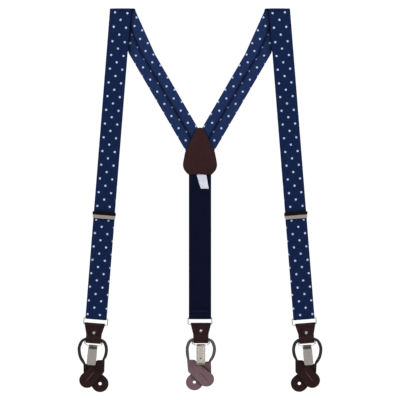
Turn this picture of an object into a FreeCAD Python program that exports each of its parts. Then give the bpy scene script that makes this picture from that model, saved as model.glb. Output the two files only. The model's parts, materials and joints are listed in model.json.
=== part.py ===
import FreeCAD, Part

# A pair of Y-back suspenders with polka-dot straps, laid out as they hang. Seen from the front, at
# -Y, the inner side of the back faces the viewer: +X is to the viewer's right, +Z is up and +Y
# points out of the wearer's back. "left" is the viewer's left. The origin is the middle of the
# inner face of the leather yoke. All sizes are in millimetres and degrees.
import math
import os
import re
import Sketcher

DIMENSIONS = {
    # straps
    "strap_width": 35.2,
    "front_width": 33.3,
    "strap_thick": 1.4,
    "lap": 0.3,
    "mitre_gap": 0.4,
    "fold_height": 220.5,
    "fold_inner_reach": 101.2,
    "fold_width": 39.3,
    "fold_gap": 3.0,
    "back_lean": 30.3,
    "back_cross_height": 31.8,
    "back_bend_height": 153.0,
    "front_reach": 124.8,
    "front_lean": 4.55,
    "front_length": 484.0,
    "front_top_drop": 1.5,
    "hem_length": 13.5,
    "loop_reach": 12.0,
    "loop_inset": 0.2,
    # yoke and label
    "yoke_leather": 1.8,
    "yoke_gap": 0.4,
    "yoke_apex_height": 46.7,
    "yoke_apex_round": 7.5,
    "yoke_waist_half": 23.4,
    "yoke_waist_height": 1.0,
    "yoke_belly_half": 28.4,
    "yoke_belly_drop": 27.0,
    "yoke_foot_half": 17.5,
    "yoke_foot_drop": 37.6,
    "yoke_foot_rise": 1.4,
    "yoke_waist_round": 8.0,
    "yoke_belly_round": 18.0,
    "yoke_foot_round": 5.0,
    "yoke_seam_drop": 14.0,
    "label_thick": 0.3,
    "label_width": 15.5,
    "label_foot_width": 12.5,
    "label_tuck": 4.0,
    "label_drop": 59.0,
    "label_shift": 1.5,
    "label_skew": 6.0,
    "elastic_drop": 261.6,
    "elastic_seam": 12.6,
    # strap adjusters
    "adjuster_height": 159.5,
    "adjuster_half": 18.05,
    "adjuster_plate": 0.8,
    "adjuster_bar": 0.8,
    "adjuster_cover_height": 5.8,
    "adjuster_lip": 2.4,
    "adjuster_pin_rise": 5.8,
    "adjuster_pin_out": 4.1,
    "anvil_thick": 0.8,
    "anvil_foot": 3.0,
    "anvil_top": 1.5,
    "adjuster_pin_radius": 0.75,
    "adjuster_knuckle": 1.4,
    # rings and leather tabs
    "wire_radius": 0.9,
    "play": 0.1,
    "ring_half": 18.7,
    "ring_height": 10.4,
    "ring_round": 1.2,
    "leather": 1.6,
    "tab_shift": 1.3,
    "tab_top_half": 16.0,
    "tab_neck_half": 12.1,
    "tab_neck_drop": 15.2,
    "tab_foot_half": 11.7,
    "tab_layers": 4.8,
    "tunnel_radius": 2.3,
    "tunnel_drop": 23.8,
    "tunnel_length": 2.1,
    "rivet_drop": 12.6,
    "back_rivet_drop": 10.0,
    "rivet_radius": 1.5,
    "rivet_cap_radius": 2.95,
    "rivet_cap_height": 0.9,
    "burr_radius": 1.9,
    "burr_height": 0.6,
    # cords and button tabs
    "cord_radius": 2.2,
    "cord_straight": 12.6,
    "cord_reach": 21.4,
    "cord_belly_drop": 18.0,
    "cord_gap": 1.2,
    "button_leather": 2.0,
    "button_gap": 0.5,
    "button_lean": 39.6,
    "slit_end_radius": 12.3,
    "holed_end_radius": 13.4,
    "button_sleeve": 19.0,
    "button_top_inner": 9.4,
    "button_top_outer": 2.2,
    "button_hole_radius": 2.5,
    "button_slit_half": 0.4,
    "button_slit_length": 16.0,
    # clips
    "bail_radius": 0.8,
    "bail_half": 13.3,
    "bail_shoulder": 3.3,
    "bail_foot_half": 8.6,
    "bail_top_drop": 27.1,
    "bail_height": 6.4,
    "back_bail_height": 5.6,
    "bail_round": 0.9,
    "clip_half": 7.0,
    "clip_plate": 0.75,
    "clip_length": 30.0,
    "clip_back_length": 27.8,
    "clip_curl_half": 6.2,
    "clip_rim": 1.4,
    "clip_pin_out": 2.4,
    "clip_pin_drop": 6.0,
    "clip_pin_radius": 0.8,
    "clip_ear": 1.9,
    "clip_cover_out": 5.2,
    "clip_cover_top": 5.4,
    "clip_knuckle": 1.6,
    "jaw_pin_out": 0.4,
    "jaw_pin_drop": 9.6,
    "jaw_pin_radius": 0.6,
    "jaw_half": 5.2,
    "jaw_drop": 26.0,
    "grip_thick": 0.6,
}

doc = FreeCAD.newDocument("suspenders")
sheet = doc.addObject("Spreadsheet::Sheet", "dims")
for row, (alias, amount) in enumerate(DIMENSIONS.items(), start=1):
    sheet.set(f"A{row}", alias)
    sheet.set(f"B{row}", str(amount))
    sheet.setAlias(f"B{row}", alias)
doc.recompute()

subparts = []


def cells(expression):
    """The expression with each driving dimension read from the spreadsheet."""

    def from_sheet(word):
        return "dims." + word.group() if word.group() in DIMENSIONS else word.group()

    return re.sub(r"[a-z_]+", from_sheet, expression)


def size(expression):
    """The expression's present value."""
    value = sheet.evalExpression(cells(expression))
    return float(getattr(value, "Value", value))


def point(across, up):
    return FreeCAD.Vector(size(across), size(up), 0)


# Bodies and sketches


def new_body(label, placement=FreeCAD.Placement()):
    body = doc.addObject("PartDesign::Body", label)
    body.Label = label
    body.Placement = placement
    subparts.append(body)
    return body


def new_sketch(body, name, role, shift="0"):
    """A sketch on one of the body's origin planes, moved along the plane's normal by shift."""
    sketch = body.newObject("Sketcher::SketchObject", f"{body.Name}_{name}")
    plane = next(feature for feature in body.Origin.OriginFeatures if feature.Role == role)
    sketch.AttachmentSupport = [(plane, "")]
    sketch.MapMode = "FlatFace"
    sketch.setExpression("AttachmentOffset.Base.z", cells(shift))
    return sketch


def bind(sketch, constraint, expression):
    """Adds a constraint whose value is the expression."""
    index = sketch.addConstraint(constraint)
    sketch.renameConstraint(index, f"size_{index}")
    sketch.setExpression(f"Constraints.size_{index}", cells(expression))


def fix_point(sketch, geometry, end, across, up):
    origin = -1
    for kind, expression in (("DistanceX", across), ("DistanceY", up)):
        constraint = Sketcher.Constraint(kind, origin, 1, geometry, end, size(expression))
        bind(sketch, constraint, expression)


def draw_circle(sketch, across, up, radius):
    normal = FreeCAD.Vector(0, 0, 1)
    circle = sketch.addGeometry(Part.Circle(point(across, up), normal, size(radius)))
    fix_point(sketch, circle, 3, across, up)
    bind(sketch, Sketcher.Constraint("Radius", circle, size(radius)), radius)


def corner_cut(before, corner, after, radius):
    """Where a rounded corner's arc starts, passes and ends."""
    back = (before - corner).normalize()
    on = (after - corner).normalize()
    half = back.getAngle(on) / 2
    inward = (back + on).normalize()
    reach = radius / math.tan(half)
    middle = corner + inward * (radius / math.sin(half) - radius)
    return corner + back * reach, middle, corner + on * reach


def draw_outline(sketch, corners, closed=True):
    """Straight sides between corners (across, up) or rounded corners (across, up, radius)."""
    places = [point(corner[0], corner[1]) for corner in corners]
    count = len(corners)
    cuts = []
    for index, corner in enumerate(corners):
        if len(corner) == 2:
            cuts.append((places[index],) * 3)
        else:
            following = places[(index + 1) % count]
            cuts.append(corner_cut(places[index - 1], places[index], following, size(corner[2])))
    sides = []
    for index in range(count if closed else count - 1):
        line = Part.LineSegment(cuts[index][2], cuts[(index + 1) % count][0])
        sides.append(sketch.addGeometry(line))
    for index, corner in enumerate(corners):
        at_start = index == 0 and not closed
        at_end = index == count - 1 and not closed
        if at_start or at_end:
            fix_point(sketch, sides[0 if at_start else -1], 1 if at_start else 2, *corner[:2])
        elif len(corner) == 2:
            joined = Sketcher.Constraint("Coincident", sides[index - 1], 2, sides[index], 1)
            sketch.addConstraint(joined)
            fix_point(sketch, sides[index], 1, *corner)
        else:
            round_corner(sketch, sides[index - 1], sides[index], cuts[index], corner)


def round_corner(sketch, before, after, cut, corner):
    """An arc tangent to both sides, which meet at the corner when they are prolonged."""
    arc = sketch.addGeometry(Part.Arc(*cut))
    starts_first = sketch.getPoint(arc, 1).distanceToPoint(cut[0]) < 1e-6
    first, last = (1, 2) if starts_first else (2, 1)
    sketch.addConstraint(Sketcher.Constraint("Tangent", before, 2, arc, first))
    sketch.addConstraint(Sketcher.Constraint("Tangent", arc, last, after, 1))
    bind(sketch, Sketcher.Constraint("Radius", arc, size(corner[2])), corner[2])
    tip = sketch.addGeometry(Part.Point(point(corner[0], corner[1])), True)
    fix_point(sketch, tip, 1, corner[0], corner[1])
    sketch.addConstraint(Sketcher.Constraint("PointOnObject", tip, 1, before))
    sketch.addConstraint(Sketcher.Constraint("PointOnObject", tip, 1, after))


def pad(body, sketch, length, symmetric=False):
    feature = body.newObject("PartDesign::Pad", f"{sketch.Name}_pad")
    feature.Profile = sketch
    feature.SideType = "Symmetric" if symmetric else "One side"
    feature.setExpression("Length", cells(length))
    return feature


def front_plate(body, name, near, far, corners):
    """A plate drawn as seen from the front (X, Z), from depth near to depth far along Y."""
    sketch = new_sketch(body, name, "XZ_Plane", f"-({far})")
    draw_outline(sketch, corners)
    pad(body, sketch, f"({far}) - ({near})")


def side_slab(body, name, width, corners, middle="0"):
    """A prism drawn as seen from the side (Y, Z), of the given width about X = middle."""
    sketch = new_sketch(body, name, "YZ_Plane", middle)
    draw_outline(sketch, corners)
    pad(body, sketch, width, symmetric=True)


def side_rod(body, name, width, across, up, radius, bore=None, middle="0"):
    """A rod or tube along X about (Y, Z) = (across, up)."""
    sketch = new_sketch(body, name, "YZ_Plane", middle)
    draw_circle(sketch, across, up, radius)
    if bore:
        draw_circle(sketch, across, up, bore)
    pad(body, sketch, width, symmetric=True)


def cut(body, name, role, length, draw):
    """A cut to both sides of an origin plane, of the shape that draw(sketch) draws."""
    sketch = new_sketch(body, name, role)
    draw(sketch)
    pocket = body.newObject("PartDesign::Pocket", f"{sketch.Name}_cut")
    pocket.Profile = sketch
    pocket.SideType = "Symmetric"
    pocket.setExpression("Length", cells(length))
    return pocket


def wire_pipe(body, name, path, role, across, up, radius):
    """A round wire along a path; its section is drawn on the origin plane the path crosses."""
    section = new_sketch(body, f"{name}_section", role)
    draw_circle(section, across, up, radius)
    pipe = body.newObject("PartDesign::AdditivePipe", f"{body.Name}_{name}_pipe")
    pipe.Profile = section
    pipe.Spine = (path, [""])
    return pipe


def box_corners(low_across, high_across, low_up, high_up):
    return [
        (low_across, low_up),
        (high_across, low_up),
        (high_across, high_up),
        (low_across, high_up),
    ]


def turned(axis, angle):
    return FreeCAD.Placement(FreeCAD.Vector(), FreeCAD.Rotation(FreeCAD.Vector(*axis), angle))


def moved(x, y, z):
    return FreeCAD.Placement(FreeCAD.Vector(x, y, z), FreeCAD.Rotation())


# The frames that everything hangs from. The strap layers at the yoke lie between the two leather
# patches; over each shoulder fold the strap comes forward of them by the fold's gap.

BACK_LAYER = "(yoke_leather + yoke_gap)"
FOLD_CENTRE = f"({BACK_LAYER} - fold_gap / 2)"
LOOP_BORE = "(wire_radius + play)"
LOOP_OUTER = f"({LOOP_BORE} + strap_thick)"


def fold_frame(side):
    """On the hinge line of a shoulder fold, with -Z down along the front strap."""
    lean = turned((0, 1, 0), side * size("front_lean"))
    centre = moved(-side * size("front_reach"), size(FOLD_CENTRE), size("fold_height"))
    return centre * lean


def front_end_frame(side):
    """On the upper bar of a front ring, with -Z down along the strap."""
    to_ring = size(f"{LOOP_OUTER} - fold_gap / 2 - strap_thick")
    return fold_frame(side) * moved(0, to_ring, -size("front_length"))


def back_end_frame():
    """On the upper bar of the back ring, turned so that the strap's outer face is at -Y."""
    depth = size(f"{BACK_LAYER} + strap_thick - {LOOP_OUTER}")
    return moved(0, depth, -size("elastic_drop")) * turned((0, 0, 1), 180)


# name: (frame, which way the crossed tabs are laid, how the clip and the cord hang off plumb,
#        the rivet's drop below the ring, the bail's height)
ENDS = {
    "left": (front_end_frame(1), 1, -8, 5, "rivet_drop", "bail_height"),
    "right": (front_end_frame(-1), -1, -8, 5, "rivet_drop", "bail_height"),
    "back": (back_end_frame(), 1, 12, -10, "back_rivet_drop", "back_bail_height"),
}
SIDES = {"left": 1, "right": -1}


# Straps


def mirrored(corners, side):
    """The corners of an outline, on the left (side 1) or mirrored to the right (side -1)."""
    if side == 1:
        return corners
    return [(f"-({corner[0]})", *corner[1:]) for corner in reversed(corners)]


def back_strap(name, side):
    """From the yoke up to the shoulder, and over it in a half turn."""
    body = new_body(f"{name}_back_strap")
    inner_edge = "-(({0}) - back_cross_height) * tan(back_lean)"
    outer_edge = f"({inner_edge}) - strap_width / cos(back_lean)"
    mitre = "-mitre_gap"
    corners = [
        ("-fold_inner_reach", "fold_height"),
        ("-fold_inner_reach - fold_width", "fold_height"),
        (outer_edge.format("back_bend_height"), "back_bend_height"),
        (outer_edge.format("-yoke_seam_drop"), "-yoke_seam_drop"),
        (mitre, "-yoke_seam_drop"),
        (mitre, "back_cross_height"),
        (inner_edge.format("back_bend_height"), "back_bend_height"),
    ]
    far = f"{BACK_LAYER} + strap_thick"
    front_plate(body, "band", BACK_LAYER, far, mirrored(corners, side))
    top = body.newObject("Sketcher::SketchObject", f"{body.Name}_fold")
    plane = next(feature for feature in body.Origin.OriginFeatures if feature.Role == "XY_Plane")
    top.AttachmentSupport = [(plane, "")]
    top.MapMode = "FlatFace"
    top.setExpression("AttachmentOffset.Base.z", cells("fold_height"))
    top.setExpression("AttachmentOffset.Base.y", cells(FOLD_CENTRE))
    corners = box_corners(
        "-fold_inner_reach - fold_width",
        "-fold_inner_reach",
        "fold_gap / 2",
        "fold_gap / 2 + strap_thick",
    )
    draw_outline(top, mirrored(corners, side))
    turn = body.newObject("PartDesign::Revolution", f"{body.Name}_turn")
    turn.Profile = top
    turn.ReferenceAxis = (top, ["H_Axis"])
    turn.Angle = 180


def front_strap(name, side):
    """The visible front layer, from the shoulder down to the loop round the ring."""
    body = new_body(f"{name}_front_strap", front_end_frame(side))
    corners = box_corners(
        f"-{LOOP_OUTER}",
        f"-{LOOP_BORE}",
        "loop_reach",
        "front_length - front_top_drop",
    )
    side_slab(body, "layer", "front_width", corners)


def strap_return(name, side):
    """Round the ring's upper bar, up behind the front layer, and hemmed round the adjuster bar."""
    body = new_body(f"{name}_strap_return", front_end_frame(side))
    bore = "adjuster_bar + play"
    outer = f"({bore} + strap_thick)"
    middle = f"({LOOP_BORE} + strap_thick / 2)"
    loop_half(body, "front_width")
    corners = box_corners(LOOP_BORE, LOOP_OUTER, "0", f"adjuster_height - {outer} + lap")
    side_slab(body, "layer", "front_width", corners)
    corners = box_corners(
        f"{LOOP_OUTER} - play",
        f"{middle} + {outer}",
        "adjuster_height - hem_length",
        "adjuster_height",
    )
    side_slab(body, "hem", "front_width", corners)
    side_rod(body, "eye", "front_width", middle, "adjuster_height", outer)
    cut(
        body,
        "eye_bore",
        "YZ_Plane",
        "strap_width * 2",
        lambda sketch: draw_circle(sketch, middle, "adjuster_height", bore),
    )


def loop_half(body, width):
    """The turn of a strap round a ring's upper bar, with the foot of its front layer."""
    front = box_corners(f"-{LOOP_OUTER}", f"-{LOOP_BORE}", "0", "loop_reach")
    side_rod(body, "turn", width, "0", "0", LOOP_OUTER, LOOP_BORE)
    cut(
        body,
        "turn_open",
        "YZ_Plane",
        "strap_width * 2",
        lambda sketch: draw_outline(
            sketch, box_corners(f"-{LOOP_OUTER} * 2", f"{LOOP_OUTER} * 2", "0", f"{LOOP_OUTER} * 2")
        ),
    )
    side_slab(body, "front_layer", width, front)


def back_elastic():
    """The plain elastic from the yoke down to its loop."""
    body = new_body("back_elastic")
    corners = box_corners(
        "-strap_width / 2",
        "strap_width / 2",
        "-elastic_drop + loop_reach",
        "-yoke_seam_drop - mitre_gap",
    )
    front_plate(body, "band", BACK_LAYER, f"{BACK_LAYER} + strap_thick", corners)


def back_elastic_loop():
    """The elastic's end, round the ring's upper bar and sewn to itself on the inner side."""
    body = new_body("back_elastic_loop", back_end_frame())
    loop_half(body, "strap_width - loop_inset")
    corners = box_corners(LOOP_BORE, LOOP_OUTER, "0", "elastic_seam")
    side_slab(body, "inner_layer", "strap_width - loop_inset", corners)


# Yoke


def yoke_corners():
    half = [
        ("yoke_waist_half", "-yoke_waist_height", "yoke_waist_round"),
        ("yoke_belly_half", "-yoke_belly_drop", "yoke_belly_round"),
        ("yoke_foot_half", "-yoke_foot_drop", "yoke_foot_round"),
    ]
    foot = [("0", "-yoke_foot_drop + yoke_foot_rise")]
    apex = [("0", "yoke_apex_height", "yoke_apex_round")]
    return apex + half + foot + mirrored(half, -1)


def yoke_patch(label, near, far):
    body = new_body(label)
    front_plate(body, "patch", near, far, yoke_corners())


def care_label():
    """A blank woven label that hangs out from under the yoke's inner patch."""
    body = new_body("care_label")
    top = "-yoke_foot_drop + label_tuck"
    corners = [
        ("label_shift - label_width / 2", top),
        ("label_shift + label_width / 2", top),
        ("label_shift + label_skew + label_foot_width / 2", "-label_drop"),
        ("label_shift + label_skew - label_foot_width / 2", "-label_drop"),
    ]
    near = "yoke_leather + 0.05"
    front_plate(body, "label", near, f"{near} + label_thick", corners)


# Adjusters

COVER_OUT = "(adjuster_pin_out + 0.4)"
RETURN_MIDDLE = f"({LOOP_BORE} + strap_thick / 2)"


def adjuster_frame(name, placement):
    """Two ears joined by the bar that holds the strap's end and by the anvil behind the strap."""
    body = new_body(f"{name}_adjuster_frame", placement)
    side_rod(body, "bar", "adjuster_half * 2", RETURN_MIDDLE, "0", "adjuster_bar")
    anvil = box_corners(
        "-anvil_thick - play", "-play", "adjuster_pin_rise - anvil_foot", "adjuster_pin_rise + anvil_top"
    )
    side_slab(body, "anvil", "adjuster_half * 2", anvil)
    ear = [
        ("-adjuster_pin_out - adjuster_knuckle", "adjuster_pin_rise - 1.8", "0.8"),
        ("0", "-2.4", "0.8"),
        (f"{RETURN_MIDDLE} + 1.9", "-2", "1.5"),
        (f"{RETURN_MIDDLE} + 1.9", "2.6", "1"),
        ("0", "adjuster_pin_rise + 2", "1"),
        ("-adjuster_pin_out - adjuster_knuckle", "adjuster_pin_rise + 1.6", "1"),
    ]
    for turn, ear_name in ((-1, "ear_right"), (1, "ear_left")):
        middle = f"{turn} * (adjuster_half - adjuster_plate / 2)"
        side_slab(body, ear_name, "adjuster_plate", ear, middle=middle)
    cut(
        body,
        "pin_bore",
        "YZ_Plane",
        "adjuster_half * 4",
        lambda sketch: draw_circle(
            sketch, "-adjuster_pin_out", "adjuster_pin_rise", "adjuster_pin_radius"
        ),
    )


def adjuster_pin(name, placement):
    body = new_body(f"{name}_adjuster_pin", placement)
    length = "adjuster_half * 2 + 0.6"
    side_rod(body, "pin", length, "-adjuster_pin_out", "adjuster_pin_rise", "adjuster_pin_radius")


def adjuster_cover(name, placement):
    """The hinged cover bar: a smooth front plate, a recessed web, a rolled knuckle and a ridge."""
    body = new_body(f"{name}_adjuster_cover", placement)
    width = "(adjuster_half - adjuster_plate - 0.15) * 2"
    plate = [
        (f"-{COVER_OUT}", "-adjuster_cover_height / 2", "0.3"),
        (f"-{COVER_OUT} + 0.8", "-adjuster_cover_height / 2", "0.3"),
        (f"-{COVER_OUT} + 0.8", "adjuster_lip"),
        (f"-{COVER_OUT}", "adjuster_lip", "0.3"),
    ]
    side_slab(body, "plate", width, plate)
    web = box_corners(
        f"-{COVER_OUT} + 0.5", f"-{COVER_OUT} + 1.2", "adjuster_lip - 0.6", "adjuster_pin_rise - 0.6"
    )
    side_slab(body, "web", width, web)
    knuckle = ("-adjuster_pin_out", "adjuster_pin_rise")
    side_rod(body, "knuckle", width, *knuckle, "adjuster_knuckle")
    ridge = [
        ("-adjuster_pin_out - 0.2", "adjuster_pin_rise - 1"),
        ("-adjuster_pin_out", "adjuster_pin_rise - 1.8"),
        (f"-{LOOP_OUTER} - 0.05", "adjuster_pin_rise - 1.6"),
        ("-adjuster_pin_out + 1", "adjuster_pin_rise - 0.6"),
    ]
    side_slab(body, "ridge", width, ridge)
    cut(
        body,
        "knuckle_bore",
        "YZ_Plane",
        "adjuster_half * 4",
        lambda sketch: draw_circle(sketch, *knuckle, "adjuster_pin_radius + 0.08"),
    )


# Ring and leather tab. From here down, sizes are from the ring's upper bar, with -Z down the strap.

RING_FOOT = "-ring_height"
TUNNEL_TOP = "(ring_height + tunnel_drop)"
TUNNEL_FOOT = "(ring_height + tunnel_drop + tunnel_length)"


def strap_ring(name, placement):
    body = new_body(f"{name}_ring", placement)
    path = new_sketch(body, "path", "XZ_Plane")
    corners = [
        ("0", "0"),
        ("ring_half", "0", "ring_round"),
        ("ring_half", RING_FOOT, "ring_round"),
        ("-ring_half", RING_FOOT, "ring_round"),
        ("-ring_half", "0", "ring_round"),
    ]
    draw_outline(path, corners)
    wire_pipe(body, "wire", path, "YZ_Plane", "0", "0", "wire_radius")


def leather_tab(name, placement, rivet_place):
    """A strip folded round the ring's lower bar and back up round the cord and the clip's bail."""
    body = new_body(f"{name}_leather_tab", placement)
    bore = "(wire_radius + play)"
    top_half = f"({bore} + leather)"
    foot_half = "(tunnel_radius + leather)"
    neck = f"-(ring_height + {top_half})"
    flat_foot = "-(ring_height + rivet_drop + rivet_cap_radius + 1)"
    profile = [
        ("-tab_layers / 2", f"{neck} - 3", "3"),
        ("-tab_layers / 2", flat_foot, "3"),
        (f"-{foot_half}", f"-{TUNNEL_TOP} + 1", "3"),
        (f"-{foot_half}", f"-{TUNNEL_FOOT} - {foot_half}", f"{foot_half} - 0.2"),
        (foot_half, f"-{TUNNEL_FOOT} - {foot_half}", f"{foot_half} - 0.2"),
        (foot_half, f"-{TUNNEL_TOP} + 1", "3"),
        ("tab_layers / 2", flat_foot, "3"),
        ("tab_layers / 2", f"{neck} - 3", "3"),
        (top_half, f"{RING_FOOT} + {top_half}", f"{top_half} - 0.2"),
        (f"-{top_half}", f"{RING_FOOT} + {top_half}", f"{top_half} - 0.2"),
    ]
    side_slab(body, "strip", "tab_top_half * 2", profile)
    outline = [
        ("tab_top_half", RING_FOOT + " + 4"),
        ("tab_top_half", RING_FOOT),
        ("tab_neck_half", "-ring_height - tab_neck_drop", "10"),
        ("tab_foot_half", f"-{TUNNEL_FOOT} - 6"),
    ]

    def waste(sketch):
        draw_outline(sketch, outline + mirrored(outline, -1))
        draw_outline(sketch, box_corners("-30", "30", "-60", "10"))

    cut(body, "outline", "XZ_Plane", "30", waste)
    cut(
        body,
        "ring_bore",
        "YZ_Plane",
        "80",
        lambda sketch: draw_circle(sketch, "0", RING_FOOT, bore),
    )
    tunnel = [
        ("-tunnel_radius", f"-{TUNNEL_TOP} + tunnel_radius", "tunnel_radius - 0.2"),
        ("tunnel_radius", f"-{TUNNEL_TOP} + tunnel_radius", "tunnel_radius - 0.2"),
        ("tunnel_radius", f"-{TUNNEL_FOOT} - tunnel_radius", "tunnel_radius - 0.2"),
        ("-tunnel_radius", f"-{TUNNEL_FOOT} - tunnel_radius", "tunnel_radius - 0.2"),
    ]
    cut(body, "tunnel", "YZ_Plane", "80", lambda sketch: draw_outline(sketch, tunnel))
    cut(
        body,
        "rivet_bore",
        "XZ_Plane",
        "30",
        lambda sketch: draw_circle(sketch, "0", f"-{rivet_place}", "rivet_radius + 0.02"),
    )


def turned_piece(body, name, profile):
    """A piece turned about the Y axis of its own frame, from its half profile (Y, radius)."""
    sketch = new_sketch(body, name, "YZ_Plane")
    draw_outline(sketch, profile)
    turn = body.newObject("PartDesign::Revolution", f"{sketch.Name}_turn")
    turn.Profile = sketch
    turn.ReferenceAxis = (sketch, ["H_Axis"])
    turn.Angle = 360


def rivet(name, placement):
    """The rivet's cap and shank, from the front of the tab to its back."""
    body = new_body(f"{name}_rivet", placement)
    face = "-tab_layers / 2"
    profile = [
        (face, "0"),
        (f"{face} - rivet_cap_height", "0"),
        (f"{face} - rivet_cap_height", "rivet_cap_radius * 0.7", "0.8"),
        (face, "rivet_cap_radius"),
        (face, "rivet_radius"),
        ("tab_layers / 2", "rivet_radius"),
        ("tab_layers / 2", "0"),
    ]
    turned_piece(body, "rivet", profile)


def rivet_burr(name, placement):
    """The small head set on the rivet's shank at the back of the tab."""
    body = new_body(f"{name}_rivet_burr", placement)
    face = "tab_layers / 2"
    profile = [
        (face, "0"),
        (face, "burr_radius"),
        (f"{face} + burr_height", "burr_radius * 0.6", "0.3"),
        (f"{face} + burr_height", "0"),
    ]
    turned_piece(body, "burr", profile)


# Cord and button tabs. The cord's frame is on its own straight run in the tunnel.

# tab: (its top's place across and below the tunnel, its turn, its reach down to the round end)
TAB_PLACES = {
    "left": {"slit": (17.8, 30.9, -5.3, 41.2), "holed": (-11.1, 40.1, 2.2, 39.5)},
    "right": {"slit": (17.8, 30.9, -6.6, 40.5), "holed": (-11.1, 40.1, 3.7, 39.8)},
    "back": {"slit": (19.6, 33.0, 1.9, 42.7), "holed": (-13.9, 36.3, -4.7, 42.2)},
}


def cord_loop(name, placement, lay):
    """The round leather cord: straight in the tunnel, then bowed down to each button tab."""
    body = new_body(f"{name}_cord_loop", placement)
    reach, belly, straight = size("cord_reach"), size("cord_belly_drop"), size("cord_straight")
    for tab, (across, drop, _, _) in TAB_PLACES[name].items():
        way = 1 if across > 0 else -1
        across, drop = abs(across), drop - size("cord_gap")
        start = FreeCAD.Vector(0, 0, 0)
        bend = FreeCAD.Vector(straight * way * lay, 0, 0)
        below = (across + (reach - across) * 0.7, (belly + drop) / 2)
        places = [(reach - 3.6, belly / 5), (reach - 0.3, belly * 0.66), (reach, belly), below]
        knots = [bend]
        for out, down in places + [(across, drop)]:
            knots.append(FreeCAD.Vector(out * way * lay, -down, 0))
        bow = Part.BSplineCurve()
        bow.interpolate(Points=knots)
        path = new_sketch(body, f"{tab}_path", "XZ_Plane")
        path.addGeometry([Part.LineSegment(start, bend), bow])
        wire_pipe(body, tab, path, "YZ_Plane", "0", "0", "cord_radius")


def button_tab(label, placement, near, lay, reach, buttonhole):
    """A soft leather tab: a sleeve under the cord that leans over into a round buttonhole end."""
    body = new_body(label, placement)
    end = (f"-{reach} * sin(button_lean)", f"-{reach} * cos(button_lean)")
    far = f"{near} + button_leather"
    lean = math.radians(size("button_lean"))
    radius = size("holed_end_radius" if buttonhole == "round" else "slit_end_radius")
    centre = point(*end)

    def tangent_at(corner, way):
        """Where the line from a corner touches the round end, on the outer or the inner side."""
        to_corner = corner - centre
        spread = math.acos(radius / to_corner.Length)
        heading = math.atan2(to_corner.y, to_corner.x) + way * spread
        return centre + FreeCAD.Vector(math.cos(heading), math.sin(heading), 0) * radius

    outer_top = point("button_top_outer", "0")
    sleeve = point("button_top_outer - 1", "-button_sleeve")
    inner_top = point("-button_top_inner", "0")
    outer_touch = tangent_at(sleeve, -1)
    inner_touch = tangent_at(inner_top, 1)
    down = FreeCAD.Vector(-math.sin(lean), -math.cos(lean), 0)
    round_end = Part.Arc(outer_touch, centre + down * radius, inner_touch)
    sides = [inner_touch, inner_top, outer_top, sleeve, outer_touch]
    flip = FreeCAD.Matrix()
    flip.A11 = lay
    sketch = new_sketch(body, "outline", "XZ_Plane", f"-({far})")
    drawn = [Part.LineSegment(*pair) for pair in zip(sides, sides[1:])] + [round_end]
    for geometry in drawn:
        geometry.transform(flip)
        sketch.addGeometry(geometry)
    across = end[0] if lay == 1 else f"-({end[0]})"
    if buttonhole == "round":
        draw_circle(sketch, across, end[1], "button_hole_radius")
    pad(body, sketch, f"({far}) - ({near})")
    if buttonhole == "slit":
        cut(body, "slit", "XZ_Plane", "30", lambda slit: draw_slit(slit, centre, down, flip))


def draw_slit(sketch, centre, down, flip):
    """A straight cut along the tab, up from the middle of its round end."""
    half = FreeCAD.Vector(-down.y, down.x, 0) * size("button_slit_half")
    top = centre - down * size("button_slit_length")
    foot = centre + down * 1.5
    ring = [top - half, top + half, foot + half, foot - half, top - half]
    for pair in zip(ring, ring[1:]):
        side = Part.LineSegment(*pair)
        side.transform(flip)
        sketch.addGeometry(side)


# Clip. Its bail hangs in the tab's tunnel below the cord; the clip's frame is on the bail's foot.


def clip_bail(name, placement, bail_foot):
    body = new_body(f"{name}_clip_bail", placement)
    path = new_sketch(body, "path", "XZ_Plane")
    top = "-ring_height - bail_top_drop"
    foot = f"-{bail_foot}"
    corners = [
        ("0", top),
        ("bail_half", top, "bail_round"),
        ("bail_half", f"{top} - bail_shoulder", "bail_round"),
        ("bail_foot_half", foot, "bail_round"),
        ("-bail_foot_half", foot, "bail_round"),
        ("-bail_half", f"{top} - bail_shoulder", "bail_round"),
        ("-bail_half", top, "bail_round"),
    ]
    draw_outline(path, corners)
    wire_pipe(body, "wire", path, "YZ_Plane", "0", top, "bail_radius")


CURL_BORE = "(bail_radius + play)"
CURL_OUTER = "(bail_radius + play + clip_plate)"


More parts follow.
